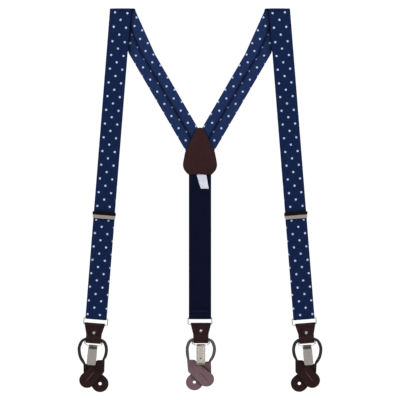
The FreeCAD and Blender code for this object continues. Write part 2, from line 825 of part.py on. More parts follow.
def clip_body(name, placement):
    """The back plate: rolled round the bail at its top, with two ears for the pins and low rims."""
    body = new_body(f"{name}_clip_body", placement)
    back = f"{CURL_OUTER} - clip_plate"
    corners = [
        ("-clip_half", "-clip_back_length", "3"),
        ("clip_half", "-clip_back_length", "3"),
        ("clip_half", "-bail_radius * 2", "0.6"),
        ("clip_curl_half", "-bail_radius * 2"),
        ("clip_curl_half", "0"),
        ("-clip_curl_half", "0"),
        ("-clip_curl_half", "-bail_radius * 2"),
        ("-clip_half", "-bail_radius * 2", "0.6"),
    ]
    front_plate(body, "back", back, CURL_OUTER, corners)
    side_rod(body, "curl", "clip_curl_half * 2", "0", "0", CURL_OUTER)
    ear = [
        ("-clip_pin_out - clip_ear", "-clip_pin_drop + clip_ear", "clip_ear - 0.1"),
        (back, "-clip_pin_drop + 1"),
        (back, "-jaw_pin_drop - 2.5"),
        ("-clip_pin_out - clip_ear", "-clip_pin_drop - clip_ear", "clip_ear - 0.4"),
    ]
    rim = box_corners(f"{back} - clip_rim", back, "-clip_back_length + 4", "-jaw_pin_drop")
    for turn, wall in ((-1, "right"), (1, "left")):
        middle = f"{turn} * (clip_half - clip_plate / 2)"
        side_slab(body, f"ear_{wall}", "clip_plate", ear, middle=middle)
        side_slab(body, f"rim_{wall}", "clip_plate", rim, middle=middle)

    def bores(sketch):
        draw_circle(sketch, "0", "0", CURL_BORE)
        draw_circle(sketch, "-clip_pin_out", "-clip_pin_drop", "clip_pin_radius")
        draw_circle(sketch, "-jaw_pin_out", "-jaw_pin_drop", "jaw_pin_radius")

    cut(body, "bores", "YZ_Plane", "clip_half * 4", bores)


def clip_pins(name, placement):
    """The lever's pin and the jaw's pin, each riveted over both ears."""
    pins = []
    for pin, out, drop, radius in (
        ("lever", "clip_pin_out", "clip_pin_drop", "clip_pin_radius"),
        ("jaw", "jaw_pin_out", "jaw_pin_drop", "jaw_pin_radius"),
    ):
        rod = doc.addObject("Part::Cylinder", f"{name}_{pin}_pin")
        rod.setExpression("Radius", cells(radius))
        rod.setExpression("Height", cells("clip_half * 2 + 0.5"))
        along_x = FreeCAD.Rotation(FreeCAD.Vector(0, 1, 0), 90)
        centre = FreeCAD.Vector(-size("clip_half + 0.25"), -size(out), -size(drop))
        rod.Placement = FreeCAD.Placement(centre, along_x)
        pins.append(rod)
    both = doc.addObject("Part::Compound", f"{name}_clip_pins")
    both.Label = f"{name}_clip_pins"
    both.Links = pins
    both.Placement = placement
    subparts.append(both)


def clip_lever(name, placement):
    """The smooth cover plate that flips up, hung on two knuckles between the ears."""
    body = new_body(f"{name}_clip_lever", placement)
    near = "-clip_cover_out"
    corners = [
        ("-clip_half", "-clip_length", "2.5"),
        ("clip_half", "-clip_length", "2.5"),
        ("clip_half", "-clip_cover_top", "0.8"),
        ("-clip_half", "-clip_cover_top", "0.8"),
    ]
    front_plate(body, "cover", near, f"{near} + clip_plate", corners)
    arm = box_corners(f"{near} + 0.2", "-clip_pin_out", "-clip_pin_drop - 0.7", "-clip_pin_drop + 0.6")
    for turn, wall in ((-1, "right"), (1, "left")):
        middle = f"{turn} * (clip_half - clip_plate - 1)"
        side_slab(body, f"arm_{wall}", "1.6", arm, middle=middle)
        centre = ("-clip_pin_out", "-clip_pin_drop")
        side_rod(body, f"knuckle_{wall}", "1.6", *centre, "clip_knuckle", middle=middle)
    cut(
        body,
        "pin_bore",
        "YZ_Plane",
        "clip_half * 4",
        lambda sketch: draw_circle(
            sketch, "-clip_pin_out", "-clip_pin_drop", "clip_pin_radius + 0.06"
        ),
    )


def clip_jaw(name, placement):
    """The gripping plate inside the clip, with a toothed lower lip."""
    body = new_body(f"{name}_clip_jaw", placement)
    profile = [
        ("-jaw_pin_out - 1.2", "-jaw_pin_drop + 1", "0.6"),
        ("-jaw_pin_out - 2.2", "-jaw_pin_drop - 4", "2"),
        ("-2.4", "-jaw_drop + 1"),
        ("-1.9", "-jaw_drop"),
        ("-0.1", "-jaw_drop"),
        ("-0.5", "-jaw_drop + 0.8"),
        ("-0.1", "-jaw_drop + 1.6"),
        ("-1.6", "-jaw_drop + 2.4"),
        ("-jaw_pin_out - 1.4", "-jaw_pin_drop - 4", "2"),
        ("-jaw_pin_out + 1", "-jaw_pin_drop - 1", "0.6"),
        ("-jaw_pin_out + 1", "-jaw_pin_drop + 1", "0.6"),
    ]
    side_slab(body, "plate", "jaw_half * 2", profile)
    cut(
        body,
        "pin_bore",
        "YZ_Plane",
        "clip_half * 4",
        lambda sketch: draw_circle(
            sketch, "-jaw_pin_out", "-jaw_pin_drop", "jaw_pin_radius + 0.06"
        ),
    )


def clip_spring(name, placement):
    """The leaf spring that holds the lever shut, bowed between the ears."""
    body = new_body(f"{name}_clip_spring", placement)
    back = f"({CURL_OUTER} - clip_plate)"
    profile = [
        (f"{back} - 0.3", "-3.2"),
        (f"{back} - 0.05", "-3.2"),
        (f"{back} - 0.05", "-5.2"),
        ("-0.2", "-6", "0.8"),
        (f"{back} - 0.05", "-7"),
        (f"{back} - 0.05", "-7.9"),
        (f"{back} - 0.3", "-7.9"),
        (f"{back} - 0.3", "-7.2"),
        ("-0.65", "-6", "1.2"),
        (f"{back} - 0.3", "-5"),
    ]
    side_slab(body, "leaf", "5", profile)


def clip_grip(name, placement):
    """The rubber pad on the back plate that the jaw bites against."""
    body = new_body(f"{name}_clip_grip", placement)
    back = f"({CURL_OUTER} - clip_plate)"
    corners = [
        ("-jaw_half", "-jaw_drop - 1", "0.8"),
        ("jaw_half", "-jaw_drop - 1", "0.8"),
        ("jaw_half", "-jaw_drop + 5", "0.8"),
        ("-jaw_half", "-jaw_drop + 5", "0.8"),
    ]
    front_plate(body, "pad", f"{back} - grip_thick", back, corners)


# Assembly

for side_name, hand in SIDES.items():
    back_strap(side_name, hand)
    front_strap(side_name, hand)
    strap_return(side_name, hand)
    at_adjuster = front_end_frame(hand) * moved(0, 0, size("adjuster_height"))
    adjuster_frame(side_name, at_adjuster)
    adjuster_pin(side_name, at_adjuster)
    adjuster_cover(side_name, at_adjuster)

back_elastic()
back_elastic_loop()
yoke_patch("yoke_inner_patch", "0", "yoke_leather")
outer_near = f"{BACK_LAYER} + strap_thick"
yoke_patch("yoke_outer_patch", outer_near, f"{outer_near} + yoke_leather")
care_label()

for end_name, (end_frame, lay, clip_hang, cord_hang, rivet_drop, bail_height) in ENDS.items():
    strap_ring(end_name, end_frame)
    on_ring = end_frame * moved(-lay * size("tab_shift"), 0, 0)
    rivet_place = f"(ring_height + {rivet_drop})"
    leather_tab(end_name, on_ring, rivet_place)
    at_rivet = on_ring * moved(0, 0, -size(rivet_place))
    rivet(end_name, at_rivet)
    rivet_burr(end_name, at_rivet)
    at_tunnel = on_ring * moved(0, 0, -size(TUNNEL_TOP)) * turned((1, 0, 0), cord_hang)
    cord_loop(end_name, at_tunnel, lay)
    for tab_name, (across, drop, turn, reach) in TAB_PLACES[end_name].items():
        tab_lay = lay if across > 0 else -lay
        in_front = (tab_name == "slit") == (end_name != "back")
        near = "-button_leather - button_gap / 2" if in_front else "button_gap / 2"
        at_top = moved(across * lay, 0, -drop) * turned((0, 1, 0), tab_lay * turn)
        label = f"{end_name}_button_tab_{tab_name}"
        buttonhole = "slit" if tab_name == "slit" else "round"
        button_tab(label, at_tunnel * at_top, near, tab_lay, reach, buttonhole)
    bail_foot = f"(ring_height + bail_top_drop + {bail_height})"
    clip_bail(end_name, on_ring, bail_foot)
    at_bail = on_ring * moved(0, 0, -size(bail_foot))
    at_clip = at_bail * turned((1, 0, 0), clip_hang)
    for make in (clip_body, clip_pins, clip_lever, clip_jaw, clip_spring, clip_grip):
        make(end_name, at_clip)

# Checks, then one file per sub-part

doc.recompute()
for item in doc.Objects:
    if {"Invalid", "Error"} & set(item.State):
        raise RuntimeError(f"{item.Label} failed: {item.State}")
for subpart in subparts:
    if subpart.Shape.isNull() or not subpart.Shape.isValid():
        raise RuntimeError(f"{subpart.Label} has no valid shape")

os.makedirs("parts", exist_ok=True)
for subpart in subparts:
    subpart.Shape.exportStep(f"parts/{subpart.Label}.step")
print(len(subparts), "sub-parts written")
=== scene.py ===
import json
import math

import bmesh
import bpy
import numpy as np
from mathutils import Matrix, Vector
from mathutils.geometry import delaunay_2d_cdt


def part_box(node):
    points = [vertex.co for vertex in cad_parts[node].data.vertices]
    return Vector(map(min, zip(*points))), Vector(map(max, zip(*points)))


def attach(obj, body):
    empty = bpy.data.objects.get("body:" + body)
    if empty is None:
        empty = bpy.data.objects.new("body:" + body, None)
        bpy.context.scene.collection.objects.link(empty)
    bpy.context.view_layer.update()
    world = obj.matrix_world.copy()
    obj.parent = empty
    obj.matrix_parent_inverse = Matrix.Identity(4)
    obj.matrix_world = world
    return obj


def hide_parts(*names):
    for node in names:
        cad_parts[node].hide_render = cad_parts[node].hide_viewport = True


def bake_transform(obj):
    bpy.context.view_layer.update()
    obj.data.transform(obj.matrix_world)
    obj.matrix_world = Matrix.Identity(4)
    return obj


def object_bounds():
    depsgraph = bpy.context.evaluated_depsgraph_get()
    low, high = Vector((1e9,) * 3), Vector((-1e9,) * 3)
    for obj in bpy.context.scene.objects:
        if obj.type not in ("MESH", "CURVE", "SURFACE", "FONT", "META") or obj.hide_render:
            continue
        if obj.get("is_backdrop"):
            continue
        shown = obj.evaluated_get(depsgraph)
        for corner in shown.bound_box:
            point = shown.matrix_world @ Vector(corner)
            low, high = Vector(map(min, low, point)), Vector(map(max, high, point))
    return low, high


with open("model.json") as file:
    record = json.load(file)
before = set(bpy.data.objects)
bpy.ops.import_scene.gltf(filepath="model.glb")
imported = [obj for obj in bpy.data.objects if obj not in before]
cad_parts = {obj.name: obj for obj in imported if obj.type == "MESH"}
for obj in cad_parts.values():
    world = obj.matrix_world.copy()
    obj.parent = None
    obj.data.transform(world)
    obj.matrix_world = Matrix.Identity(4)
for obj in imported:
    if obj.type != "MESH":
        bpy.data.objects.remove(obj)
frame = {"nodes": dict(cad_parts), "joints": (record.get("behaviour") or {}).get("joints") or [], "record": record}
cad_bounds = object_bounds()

MM = 0.001
JOINTS = {joint["name"]: joint for joint in frame["joints"]}
MOUNTS = {mount["name"]: mount for mount in frame["record"]["mounts"]}
SIDES = {"left": -1, "right": 1}
ENDS = ("left", "right", "back")
WORLD_X = Vector((1, 0, 0))
WORLD_Y = Vector((0, 1, 0))
WORLD_Z = Vector((0, 0, 1))


# Places read from the frame


def pivot(joint):
    return Vector(JOINTS[joint]["pos_m"])


def axis(joint):
    return Vector(JOINTS[joint]["axis"]).normalized()


def local_frame(origin, across, up):
    """A frame with X across and Z up, from the place of its origin."""
    x = across.normalized()
    z = (up - x * up.dot(x)).normalized()
    matrix = Matrix((x, z.cross(x), z)).transposed().to_4x4()
    matrix.translation = origin
    return matrix


def local_points(node, matrix):
    """A CAD node's points in matrix's frame, one row for each."""
    points = np.array([vertex.co for vertex in frame["nodes"][node].data.vertices])
    inverse = np.array(matrix.inverted())
    return points @ inverse[:3, :3].T + inverse[:3, 3]


def local_box(node, matrix):
    """The lowest and highest corners of a CAD node in matrix's frame."""
    points = local_points(node, matrix)
    return Vector(points.min(0)), Vector(points.max(0))


def crossings(node, matrix, heights):
    """For each height of matrix's frame, the X of the places where a CAD node's edges cross it."""
    points = local_points(node, matrix)
    ends = np.array([edge.vertices for edge in frame["nodes"][node].data.edges])
    below, above = points[ends[:, 0]], points[ends[:, 1]]
    rows = []
    for height in heights:
        crossed = (below[:, 2] - height) * (above[:, 2] - height) < 0
        low, high = below[crossed], above[crossed]
        share = (height - low[:, 2]) / (high[:, 2] - low[:, 2])
        rows.append(low[:, 0] + share * (high[:, 0] - low[:, 0]))
    return rows


def sliced(node, height):
    """The lowest and highest X where a CAD node is cut at a height."""
    across, = crossings(node, Matrix.Identity(4), [height])
    return float(across.min()), float(across.max())


def half_widths(node, matrix, heights):
    """Half the width of a CAD node at each height of matrix's frame."""
    return [float(np.abs(across).max()) for across in crossings(node, matrix, heights)]


def flat_loops(node, matrix, outward):
    """The outlines of a CAD node's flat faces that look outward, as (X, Z) in matrix's frame."""
    mesh = frame["nodes"][node].data
    inverse = matrix.inverted()
    places = [inverse @ vertex.co for vertex in mesh.vertices]
    same_place = 0.01 * MM
    keys = [tuple(round(value / same_place) for value in place) for place in places]
    flat = {key: (place.x, place.z) for key, place in zip(keys, places)}
    onward = {}
    for polygon in mesh.polygons:
        if polygon.normal.dot(outward) > 0.995:
            ring = [keys[index] for index in polygon.vertices]
            for start, end in zip(ring, ring[1:] + ring[:1]):
                if start == end:
                    continue
                if start in onward.get(end, ()):
                    onward[end].remove(start)
                else:
                    onward.setdefault(start, []).append(end)
    loops = []
    while any(onward.values()):
        start = next(key for key, ends in onward.items() if ends)
        loop = [start]
        while onward.get(loop[-1]):
            loop.append(onward[loop[-1]].pop())
            if loop[-1] == start:
                break
        loops.append([flat[key] for key in loop[:-1]])
    return sorted(loops, key=lambda loop: -abs(area(loop)))


def area(loop):
    points = np.array(loop)
    after = np.roll(points, -1, axis=0)
    return float(np.sum(points[:, 0] * after[:, 1] - after[:, 0] * points[:, 1]) / 2)


# Outlines


def smoothstep(value):
    value = min(max(value, 0.0), 1.0)
    return value * value * (3 - 2 * value)


def curve_through(knots, step, closed=False):
    """Evenly spaced points on a smooth curve through the knots."""
    knots = [Vector(knot) for knot in knots]
    count = len(knots)
    spans = count if closed else count - 1
    points = []
    for index in range(spans):
        at, to = knots[index], knots[(index + 1) % count]
        before = knots[index - 1] if closed or index > 0 else at * 2 - to
        after = knots[(index + 2) % count] if closed or index + 2 < count else to * 2 - at
        reach = (to - at).length
        pieces = max(1, round(reach / step))
        leave = (to - before).normalized() * reach
        arrive = (after - at).normalized() * reach
        for piece in range(pieces):
            t = piece / pieces
            start = at * (2 * t**3 - 3 * t**2 + 1) + leave * (t**3 - 2 * t**2 + t)
            points.append(start + to * (3 * t**2 - 2 * t**3) + arrive * (t**3 - t**2))
    if not closed:
        points.append(knots[-1])
    return points


def refined_loop(loop, step, corner_radius=0.0):
    """The loop with evenly spaced points, smooth between its sharp corners."""
    corner_angle = 32
    points = [Vector(point) for point in loop]
    count = len(points)
    sharp = []
    for index, point in enumerate(points):
        before, after = point - points[index - 1], points[(index + 1) % count] - point
        if math.degrees(before.angle(after)) > corner_angle:
            sharp.append(index)
    if not sharp:
        return curve_through(points, step, closed=True)
    refined = []
    for index, start in enumerate(sharp):
        end = sharp[(index + 1) % len(sharp)]
        run = [points[(start + offset) % count] for offset in range((end - start) % count + 1)]
        if len(sharp) == 1:
            run = [points[(start + offset) % count] for offset in range(count + 1)]
        refined += curve_through(run, step)[:-1]
    if corner_radius:
        refined = relaxed(refined, step, corner_radius)
    return refined


def inset(ring, distance):
    """The ring moved inward, or outward for a negative distance, without its crossed-over points."""
    tangent = np.roll(ring, -1, axis=0) - np.roll(ring, 1, axis=0)
    tangent /= np.linalg.norm(tangent, axis=1)[:, None]
    inward = np.stack([-tangent[:, 1], tangent[:, 0]], 1) * np.sign(area(ring))
    moved = ring + inward * distance
    return moved[edge_distance(moved, ring) > abs(distance) * 0.97]


def relaxed(points, step, radius):
    """The closed run of points with its corners eased over the radius."""
    rounds = max(1, round((radius / step) ** 2))
    array = np.array(points)
    for _ in range(rounds):
        array = array / 2 + (np.roll(array, 1, axis=0) + np.roll(array, -1, axis=0)) / 4
    return [Vector(point) for point in array]


def edge_distance(points, loop):
    """How far each point is from the loop."""
    start = np.array(loop)
    along = np.roll(start, -1, axis=0) - start
    length = np.maximum((along**2).sum(1), 1e-18)
    nearest = np.full(len(points), np.inf)
    for index in range(len(start)):
        to_point = points - start[index]
        share = np.clip(to_point @ along[index] / length[index], 0, 1)
        gap = to_point - share[:, None] * along[index]
        nearest = np.minimum(nearest, np.sqrt((gap**2).sum(1)))
    return nearest


def inside(points, loop):
    """Whether each point lies within the loop."""
    start = np.array(loop)
    end = np.roll(start, -1, axis=0)
    within = np.zeros(len(points), bool)
    for (x0, y0), (x1, y1) in zip(start, end):
        straddles = (y0 > points[:, 1]) != (y1 > points[:, 1])
        rise = y1 - y0 if y1 != y0 else 1e-12
        within ^= straddles & (points[:, 0] < (x1 - x0) * (points[:, 1] - y0) / rise + x0)
    return within


# Meshes


def new_piece(name, points, faces, uvs, material, attributes=None):
    """A smooth mesh object with a UV map in metres and one number per vertex for each attribute."""
    mesh = bpy.data.meshes.new(name)
    mesh.from_pydata([tuple(point) for point in points], [], faces)
    layer = mesh.uv_layers.new(name="metric")
    for loop in mesh.loops:
        layer.data[loop.index].uv = uvs[loop.vertex_index]
    attributes = {"edge": [1.0] * len(points), **(attributes or {})}
    for label, values in attributes.items():
        mesh.attributes.new(label, "FLOAT", "POINT").data.foreach_set("value", list(values))
    work = bmesh.new()
    work.from_mesh(mesh)
    unused = [vertex for vertex in work.verts if not vertex.link_faces]
    bmesh.ops.delete(work, geom=unused, context="VERTS")
    bmesh.ops.recalc_face_normals(work, faces=work.faces)
    work.to_mesh(mesh)
    work.free()
    mesh.shade_smooth()
    mesh.materials.append(material)
    piece = bpy.data.objects.new(name, mesh)
    bpy.context.scene.collection.objects.link(piece)
    return piece


def rounded_edge(distance, radius):
    """The share of full thickness at a distance from a rounded edge."""
    inward = min(max(distance / radius, 0.0), 1.0)
    return math.sqrt(1 - (1 - inward) ** 2)


def skin(rows, sides, base=0):
    """The faces round a tube, between its rows of points."""
    faces = []
    for here in range(base, base + (rows - 1) * sides, sides):
        for step in range(sides):
            follow = (step + 1) % sides
            faces.append((here + step, here + follow, here + sides + follow, here + sides + step))
    return faces


def caps(rows, sides, base=0):
    """The two faces that close a tube's ends."""
    return [tuple(range(start, start + sides)) for start in (base, base + (rows - 1) * sides)]


def band(name, stations, thickness, width, material, ripple=0.0, seam=0.0, drift=None):
    """A flat strap with a face and a reverse, through stations of (outer, inner, normal, along, lean).

    A seam is the depth of a groove along the middle of the reverse. Drift takes the length along
    the strap and gives how far the woven pattern has moved across and along it.
    """
    radius, groove_width = thickness / 2, 0.6 * MM
    shares = [radius * share / width for share in (0.0, 0.12, 0.45, 1.0)]
    middle = list(np.linspace(shares[-1], 1 - shares[-1], 15))[1:-1]
    if seam:
        near = [offset * MM / width for offset in (0.3, 0.7, 1.3)]
        middle = [share for share in middle if abs(share - 0.5) > 2 * MM / width or share == 0.5]
        middle = sorted(middle + [0.5 - step for step in near] + [0.5 + step for step in near])
    shares = shares + middle + [1 - share for share in reversed(shares)]
    to_edge = [min(share, 1 - share) * width for share in shares]
    columns = len(shares)
    stride = 2 * columns - 2
    points, uvs = [], []
    for outer, inner, normal, along, lean in stations:
        reach = (inner - outer).length
        face, back, row = [], [], []
        for share, gap in zip(shares, to_edge):
            height = radius * rounded_edge(gap, radius) + ripple * math.sin(share * math.pi)
            groove = seam * math.exp(-(((share - 0.5) * width / groove_width) ** 2))
            place = outer.lerp(inner, share)
            uv = (share * reach * math.cos(lean) - width / 2, along - share * reach * math.sin(lean))
            if drift:
                moved = drift(uv[1])
                uv = (uv[0] + moved[0], uv[1] + moved[1])
            face.append(place + normal * height)
            back.append(place - normal * (height - groove))
            row.append(uv)
        points += face + back[-2:0:-1]
        uvs += row + row[-2:0:-1]
    faces = skin(len(stations), stride)
    for base in (0, (len(stations) - 1) * stride):
        for index in range(columns - 1):
            corners = (index, index + 1, stride - index - 1, (stride - index) % stride)
            faces.append(tuple(dict.fromkeys(base + corner for corner in corners)))
    reverse = ([0.0] * columns + [1.0] * (columns - 2)) * len(stations)
    edge = (to_edge + to_edge[-2:0:-1]) * len(stations)
    return new_piece(name, points, faces, uvs, material, {"reverse": reverse, "edge": edge})


def followed(path, along=0.0):
    """Each place on a path, with the heading there and the length passed."""
    for index, place in enumerate(path):
        before, after = path[max(index - 1, 0)], path[min(index + 1, len(path) - 1)]
        if index:
            along += (place - path[index - 1]).length
        yield place, (after - before).normalized(), along


def path_stations(matrix, path, half_width, along=0.0, outside=1):
    """Stations of a strap that follows a path of (Y, Z) in matrix's frame, level across."""
    stations = []
    for place, heading, passed in followed([Vector(place) for place in path], along):
        normal = matrix.to_3x3() @ Vector((0, -heading.y, heading.x)) * outside
        half = half_width(place.y)
        ends = [matrix @ Vector((across, place.x, place.y)) for across in (-half, half)]
        stations.append((*ends, normal, passed, 0.0))
    return stations


def arc(centre, radius, start, end, steps):
    """Points on an arc between two angles in degrees, counted from the first axis to the second."""
    points = []
    for step in range(steps + 1):
        angle = math.radians(start + (end - start) * step / steps)
        points.append((centre[0] + radius * math.cos(angle), centre[1] + radius * math.sin(angle)))
    return points


def plate_net(rings, offsets, edge, spacing):
    """The flat net that fills a plate's outline, as points (X, Z) and triangles between them."""
    sets = rings + [inset(rings[0], offset) for offset in offsets]
    for ring in rings[1:]:
        sets += [inset(ring, -offset) for offset in offsets[:3]]
    low_corner, high_corner = rings[0].min(0), rings[0].max(0)
    columns = np.arange(low_corner[0], high_corner[0], spacing)
    rows = np.arange(low_corner[1], high_corner[1], spacing * 0.9)
    grid = np.array([(x + (row % 2) * spacing / 2, z) for row, z in enumerate(rows) for x in columns])
    clear = inside(grid, rings[0]) & (edge_distance(grid, rings[0]) > offsets[-1] + spacing * 0.4)
    for ring in rings[1:]:
        clear &= ~inside(grid, ring) & (edge_distance(grid, ring) > edge + spacing * 0.4)
    sets.append(grid[clear])
    borders, base = [], 0
    for ring in rings:
        borders += [(base + index, base + (index + 1) % len(ring)) for index in range(len(ring))]
        base += len(ring)
    flat = [Vector(point) for point in np.concatenate(sets)]
    drawn, _, triangles, *_ = delaunay_2d_cdt(flat, borders, [], 0, 1e-9)
    drawn = np.array([(point.x, point.y) for point in drawn])
    centres = np.array([drawn[list(triangle)].mean(0) for triangle in triangles])
    kept = inside(centres, rings[0])
    for ring in rings[1:]:
        kept &= ~inside(centres, ring)
    return drawn, [triangle for triangle, keep in zip(triangles, kept) if keep]


def plate(name, loops, matrix, low, high, material, edge, spacing, groove=None, shape=None):
    """A plate from depth low to high, with rounded edges, inside its first loop and round the others.

    A groove is (its gap from the outer edge, its depth) and runs along the low side. Shape gives
    the change in depth at (x, z, way, distance to the outer edge); way is -1 on the low side.
    """
    half, middle = (high - low) / 2, (high + low) / 2
    groove_gap, groove_depth = groove if groove else (0.0, 0.0)
    groove_width = 0.3 * MM
    offsets = [edge * 0.15, edge * 0.5, edge]
    if groove:
        offsets += [groove_gap + step * MM for step in (-0.35, 0.0, 0.35, 0.8)]
    rings = [np.array([(point.x, point.y) for point in loop]) for loop in loops]
    drawn, triangles = plate_net(rings, offsets, edge, spacing)
    to_outer = edge_distance(drawn, rings[0])
    to_any = to_outer.copy()
    for ring in rings[1:]:
        to_any = np.minimum(to_any, edge_distance(drawn, ring))
    count = len(drawn)
    points, uvs, faces = [], [], []
    for way in (-1, 1):
        for (x, z), gap, outer_gap in zip(drawn, to_any, to_outer):
            height = half - min(edge, half) * 0.75 * (1 - rounded_edge(gap, edge))
            if groove and way == -1:
                height -= groove_depth * math.exp(-(((outer_gap - groove_gap) / groove_width) ** 2))
            depth = middle + way * height
            if shape:
                depth += shape(x, z, way, outer_gap)
            points.append(matrix @ Vector((x, depth, z)))
            uvs.append((x, z))
        base = count if way == 1 else 0
        faces += [tuple(base + corner for corner in triangle) for triangle in triangles]
    sides = dict.fromkeys(side for corners in triangles for side in zip(corners, corners[1:] + corners[:1]))
    rim = [side for side in sides if side[::-1] not in sides]
    faces += [(start, end, end + count, start + count) for start, end in rim]
    attributes = {"edge": list(to_any) * 2, "reverse": [0.0] * count + [1.0] * count}
    return new_piece(name, points, faces, uvs, material, attributes)


def tube(name, path, radius, material, sides, seam=0.0):
    """A round cord along a path, with a seam groove along its back and closed ends.

    Radius takes the share of the path passed and gives the cord's radius there.
    """
    points, uvs = [], []
    side = WORLD_Y
    for index, (place, heading, along) in enumerate(followed(path)):
        side = (side - heading * side.dot(heading)).normalized()
        other = heading.cross(side)
        for step in range(sides):
            angle = 2 * math.pi * step / sides
            dent = seam * math.exp(-((min(step, sides - step) / 1.2) ** 2))
            reach = radius(index / (len(path) - 1)) - dent
            points.append(place + side * math.cos(angle) * reach + other * math.sin(angle) * reach)
            uvs.append((angle * reach, along))
    faces = skin(len(path), sides) + caps(len(path), sides)
    return new_piece(name, points, faces, uvs, material)


def stitches(name, path, normal, material):
    """A row of thread stitches laid along a path, each a small bowed capsule."""
    length, gap, radius, sides = 2.4 * MM, 0.9 * MM, 0.22 * MM, 6
    # the share of the stitch, and its thickness and height in radii
    bow = ((0.0, 0.2, -0.6), (0.15, 0.9, 0.2), (0.5, 1.0, 0.7), (0.85, 0.9, 0.2), (1.0, 0.2, -0.6))
    points, uvs, faces = [], [], []
    along = [passed for _, _, passed in followed(path)]

    def at(distance):
        return Vector([np.interp(distance, along, places) for places in zip(*path)])

    for stitch in range(int(along[-1] / (length + gap))):
        begin = stitch * (length + gap) + gap / 2
        start, end = at(begin), at(begin + length)
        other = (end - start).normalized().cross(normal).normalized()
        faces += skin(len(bow), sides, len(points)) + caps(len(bow), sides, len(points))
        for share, swell, lift in bow:
            middle = start.lerp(end, share) + normal * radius * lift
            for step in range(sides):
                angle = 2 * math.pi * step / sides
                spoke = normal * math.cos(angle) + other * math.sin(angle)
                points.append(middle + spoke * radius * swell)
                uvs.append((angle * radius, share * length))
    return new_piece(name, points, faces, uvs, material)


# Materials


class Field:
    """A number, place or colour that a material works out at each point, open to arithmetic."""

    def __init__(self, node, output):
        self.tree = node.id_data
        self.socket = node.outputs[output]

    def __add__(self, other):
        return calc("ADD", self, other)

    def __sub__(self, other):
        return calc("SUBTRACT", self, other)

    def __rsub__(self, other):
        return calc("SUBTRACT", other, self)

    def __mul__(self, other):
        return calc("MULTIPLY", self, other)

    def __truediv__(self, other):
        return calc("DIVIDE", self, other)

    def __abs__(self):
        return calc("ABSOLUTE", self)


def feed(socket, value):
    if isinstance(value, Field):
        value.tree.links.new(value.socket, socket)
    else:
        socket.default_value = value


def new_field(tree, kind, inputs, output=0, **settings):
    """One output of a new shader node with these inputs and settings."""
    node = tree.nodes.new("ShaderNode" + kind)
    for setting, value in settings.items():
        setattr(node, setting, value)
    for name, value in inputs.items():
        feed(node.inputs[name], value)
    return Field(node, output)


def calc(operation, *terms):
    """The result of a maths node on numbers and fields."""
    tree = next(term.tree for term in terms if isinstance(term, Field))
    return new_field(tree, "Math", dict(enumerate(terms)), operation=operation)


def stepped(value, low, high):
    """Rises smoothly from 0 at low to 1 at high, whichever is the larger."""
    inputs = {"Value": value, "From Min": min(low, high), "From Max": max(low, high)}
    rising = new_field(value.tree, "MapRange", inputs, "Result", interpolation_type="SMOOTHSTEP")
    return rising if low < high else 1 - rising


def blended(share, first, second):
    first, second = [colour if isinstance(colour, Field) else (*colour, 1.0) for colour in (first, second)]
    return new_field(share.tree, "Mix", {0: share, 6: first, 7: second}, 2, data_type="RGBA")


def darker(colour, share):
    """The colour with only a share of its light."""
    return tuple(part * share for part in colour)


def attribute(material, name):
    return new_field(material.node_tree, "Attribute", {}, "Fac", attribute_name=name)


def in_millimetres(place):
    return new_field(place.tree, "VectorMath", {0: place, "Scale": 1 / MM}, operation="SCALE")


def surface_place(material):
    """The place on the surface in millimetres: across, along, and both as one vector."""
    tree = material.node_tree
    place = in_millimetres(new_field(tree, "UVMap", {}, "UV", uv_map="metric"))
    across, along = [new_field(tree, "SeparateXYZ", {0: place}, part) for part in "XY"]
    return across, along, place


def solid_place(material):
    """The place in the piece's own frame, in millimetres, for fittings without a UV map."""
    return in_millimetres(new_field(material.node_tree, "TexCoord", {}, "Object"))


def noise(place, scale, detail=2.0, stretch=(1, 1, 1)):
    stretched = new_field(place.tree, "VectorMath", {0: place, 1: stretch}, operation="MULTIPLY")
    return new_field(place.tree, "TexNoise", {"Vector": stretched, "Scale": scale, "Detail": detail}, "Fac")


def cells(place, scale):
    """How far each point is from the middle of its cell, in an even scatter of cells."""
    return new_field(place.tree, "TexVoronoi", {"Vector": place, "Scale": scale}, "Distance")


def wave(value, period):
    return calc("SINE", value * (2 * math.pi / period))


def contact_shade(colour, reach, least=0.3):
    """The colour, darker where another piece lies close over it."""
    shade = new_field(colour.tree, "AmbientOcclusion", {"Distance": reach}, "AO", samples=12)
    openness = calc("POWER", shade, 2.0) * (1 - least) + least
    return new_field(colour.tree, "VectorMath", {0: colour, "Scale": openness}, operation="SCALE")


def new_material(name, roughness, metallic=0.0, gloss=0.5):
    material = bpy.data.materials.new(name)
    material.use_nodes = True
    shader = material.node_tree.nodes["Principled BSDF"]
    levels = {"Roughness": roughness, "Metallic": metallic, "Specular IOR Level": gloss}
    for level, value in levels.items():
        shader.inputs[level].default_value = value
    return material, shader


def finish(shader, colour, relief, depth):
    """Gives a surface its colour and a fine relief of a depth."""
    feed(shader.inputs["Base Color"], colour)
    bump = new_field(relief.tree, "Bump", {"Height": relief, "Distance": depth}, "Normal")
    feed(shader.inputs["Normal"], bump)


def lattice_dots(across, along, first, pitch, start, repeat, radius):
    """1 inside the dots of a lattice whose neighbouring columns are half a repeat apart.

    First and pitch place the columns across the strap, start and repeat the dots along it.
    """
    column = (across - first) / pitch
    nearest = calc("ROUND", column)
    off_column = (column - nearest) * pitch
    odd = abs(calc("MODULO", nearest, 2.0))
    row = (along - start) / repeat - odd * 0.5
    off_row = (row - calc("ROUND", row)) * repeat
    squares = [calc("POWER", abs(off), 2.0) for off in (off_column, off_row)]
    softness = 0.22
    return stepped(calc("SQRT", squares[0] + squares[1]), radius + softness, radius - softness)


